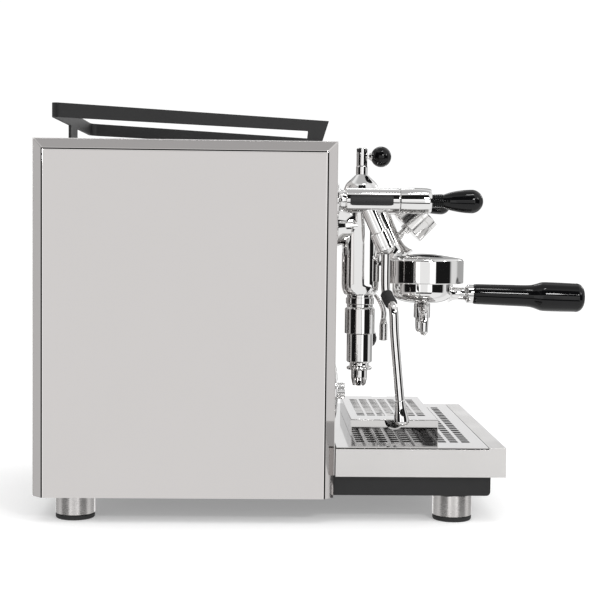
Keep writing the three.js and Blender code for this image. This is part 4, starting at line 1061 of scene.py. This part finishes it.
knob = turned(
    [(0, -13), (3.5, -13), (3.5, 5.9), (8, 5.9), (8.5, 6.4), (8.5, 11.6), (7.7, 12.5), (0, 12.6)], 96
)
for vert in knob.verts:
    if vert.co.z > 6.2 * MM and vert.co.xy.length > 8.4 * MM:
        angle = math.atan2(vert.co.y, vert.co.x)
        dip = 1 - 0.06 * (0.5 + 0.5 * math.cos(angle * 16))
        vert.co.x *= dip
        vert.co.y *= dip
piece(stood(knob, at, FORWARD), "fluted_selector", chrome, "selector", "chrome", "power_knob")

# ------------------------------------------------------------------ drip tray
# A folded box of satin stainless with open corners at the back and a strip along its front edge that
# the grid butts against.
tray_steel = finish(
    "tray_steel", (0.70, 0.685, 0.675), 0.13, 0.22, (2600, 26, 2600), 0.3, shade=0.95, Specular_Tint=(
        0.66, 0.66, 0.66, 1
    )
)
tray = round_edges(joined_copy("drip_tray"), 0.6, segments=3, sharper_than=40)
piece(tray, "folded_tray", tray_steel, "tray", "satin_steel", "drip_tray")

# The basin's floor, near black: painted shade for the dark inside of the tray, seen through the grid's holes.
painted_shade_basin = finish("painted_shade_basin", (0.10, 0.095, 0.09), 0.4, 0.6, (400, 400, 400), 0.6, shade=0.6)
low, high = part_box("drip_tray")
IN = 2 * MM
basin = brick((low.x + IN, high.x - IN), (low.y + IN, high.y - IN), (low.z + IN, low.z + 1.5 * IN))
piece(round_edges(basin, 0.3), "basin_floor", painted_shade_basin, "tray", "satin_steel")

# ------------------------------------------------------------------ grid and cup platform
# Bright sheet stamped with square holes. The platform stands on the grid on its front and back walls
# and has a finger notch in each side.
bright_sheet = finish(
    "bright_sheet", (0.64, 0.63, 0.62), 0.05, 0.10, (30, 2600, 2600), 0.1, shade=0.96, Specular_Tint=(
        0.62, 0.62, 0.625, 1
    )
)


def punches(hole, pitch, rows, columns, front_y, z):
    """Square punches in rows across the machine, centred on it. front_y is the front edge of the
    frontmost column of holes."""
    bm = bmesh.new()
    shape = Matrix.Diagonal((hole * MM, hole * MM, 6 * MM, 1))
    for row in range(rows):
        for column in range(columns):
            x = (row - (rows - 1) / 2) * pitch[0] * MM
            y = front_y + (hole / 2 + column * pitch[1]) * MM
            bmesh.ops.create_cube(bm, size=1, matrix=Matrix.Translation((x, y, z)) @ shape)
    return bm


low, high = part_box("drip_grid")
sheet = brick((low.x, high.x), (low.y, high.y), (high.z - 0.6 * MM, high.z))
holes = punches(8.4, (12.8, 12.1), 21, 10, low.y + 14 * MM, high.z)
piece(fused(sheet, cutters=[holes]), "stamped_grid", bright_sheet, "grid", "satin_steel", "drip_grid")

low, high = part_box("cup_platform")
WALL = MM
SKIRT = 8 * MM
notch = Vector((0, (low.y + high.y) / 2, high.z))


def platform():
    shell = brick((low.x, high.x), (low.y, high.y), (low.z, high.z))
    round_edges(shell, 0.8, 3, 40, only=lambda e: min(v.co.z for v in e.verts) > low.z + MM)
    under = brick((low.x + WALL, high.x - WALL), (low.y + WALL, high.y - WALL), (low.z - MM, high.z - WALL))
    gaps = brick((low.x - MM, high.x + MM), (low.y + WALL, high.y - WALL), (low.z - MM, high.z - SKIRT))
    holes = punches(8.2, (11.5, 10.85), 12, 7, low.y + (92.3 - 8.8 - 8.2 - 6 * 10.85) * MM, high.z)
    tongues, scoops = [], []
    for sign, x in ((1, high.x), (-1, low.x)):
        tongue = turned([(0, 0), (10.6, 0), (10.6, 1.2), (0, 1.2)], 72)
        spin = Matrix.Translation((x, notch.y, notch.z)) @ Matrix.Rotation(-sign * math.pi / 2, 4, "Y")
        bmesh.ops.transform(tongue, matrix=spin, verts=tongue.verts)
        for vert in tongue.verts:
            vert.co.z = min(vert.co.z, high.z - 0.9 * MM)
        tongues.append(tongue)
        scoop = turned([(0, -2), (9, -2), (9, 5), (0, 5)], 72)
        spin = Matrix.Translation((x, notch.y, notch.z)) @ Matrix.Rotation(-sign * math.pi / 2, 4, "Y")
        bmesh.ops.transform(scoop, matrix=spin, verts=scoop.verts)
        scoops.append(scoop)
    hollowed = fused(shell, cutters=[under, gaps])
    return fused(hollowed, tongues, [*scoops, holes])


piece(platform(), "stamped_platform", bright_sheet, "platform", "satin_steel", "cup_platform")
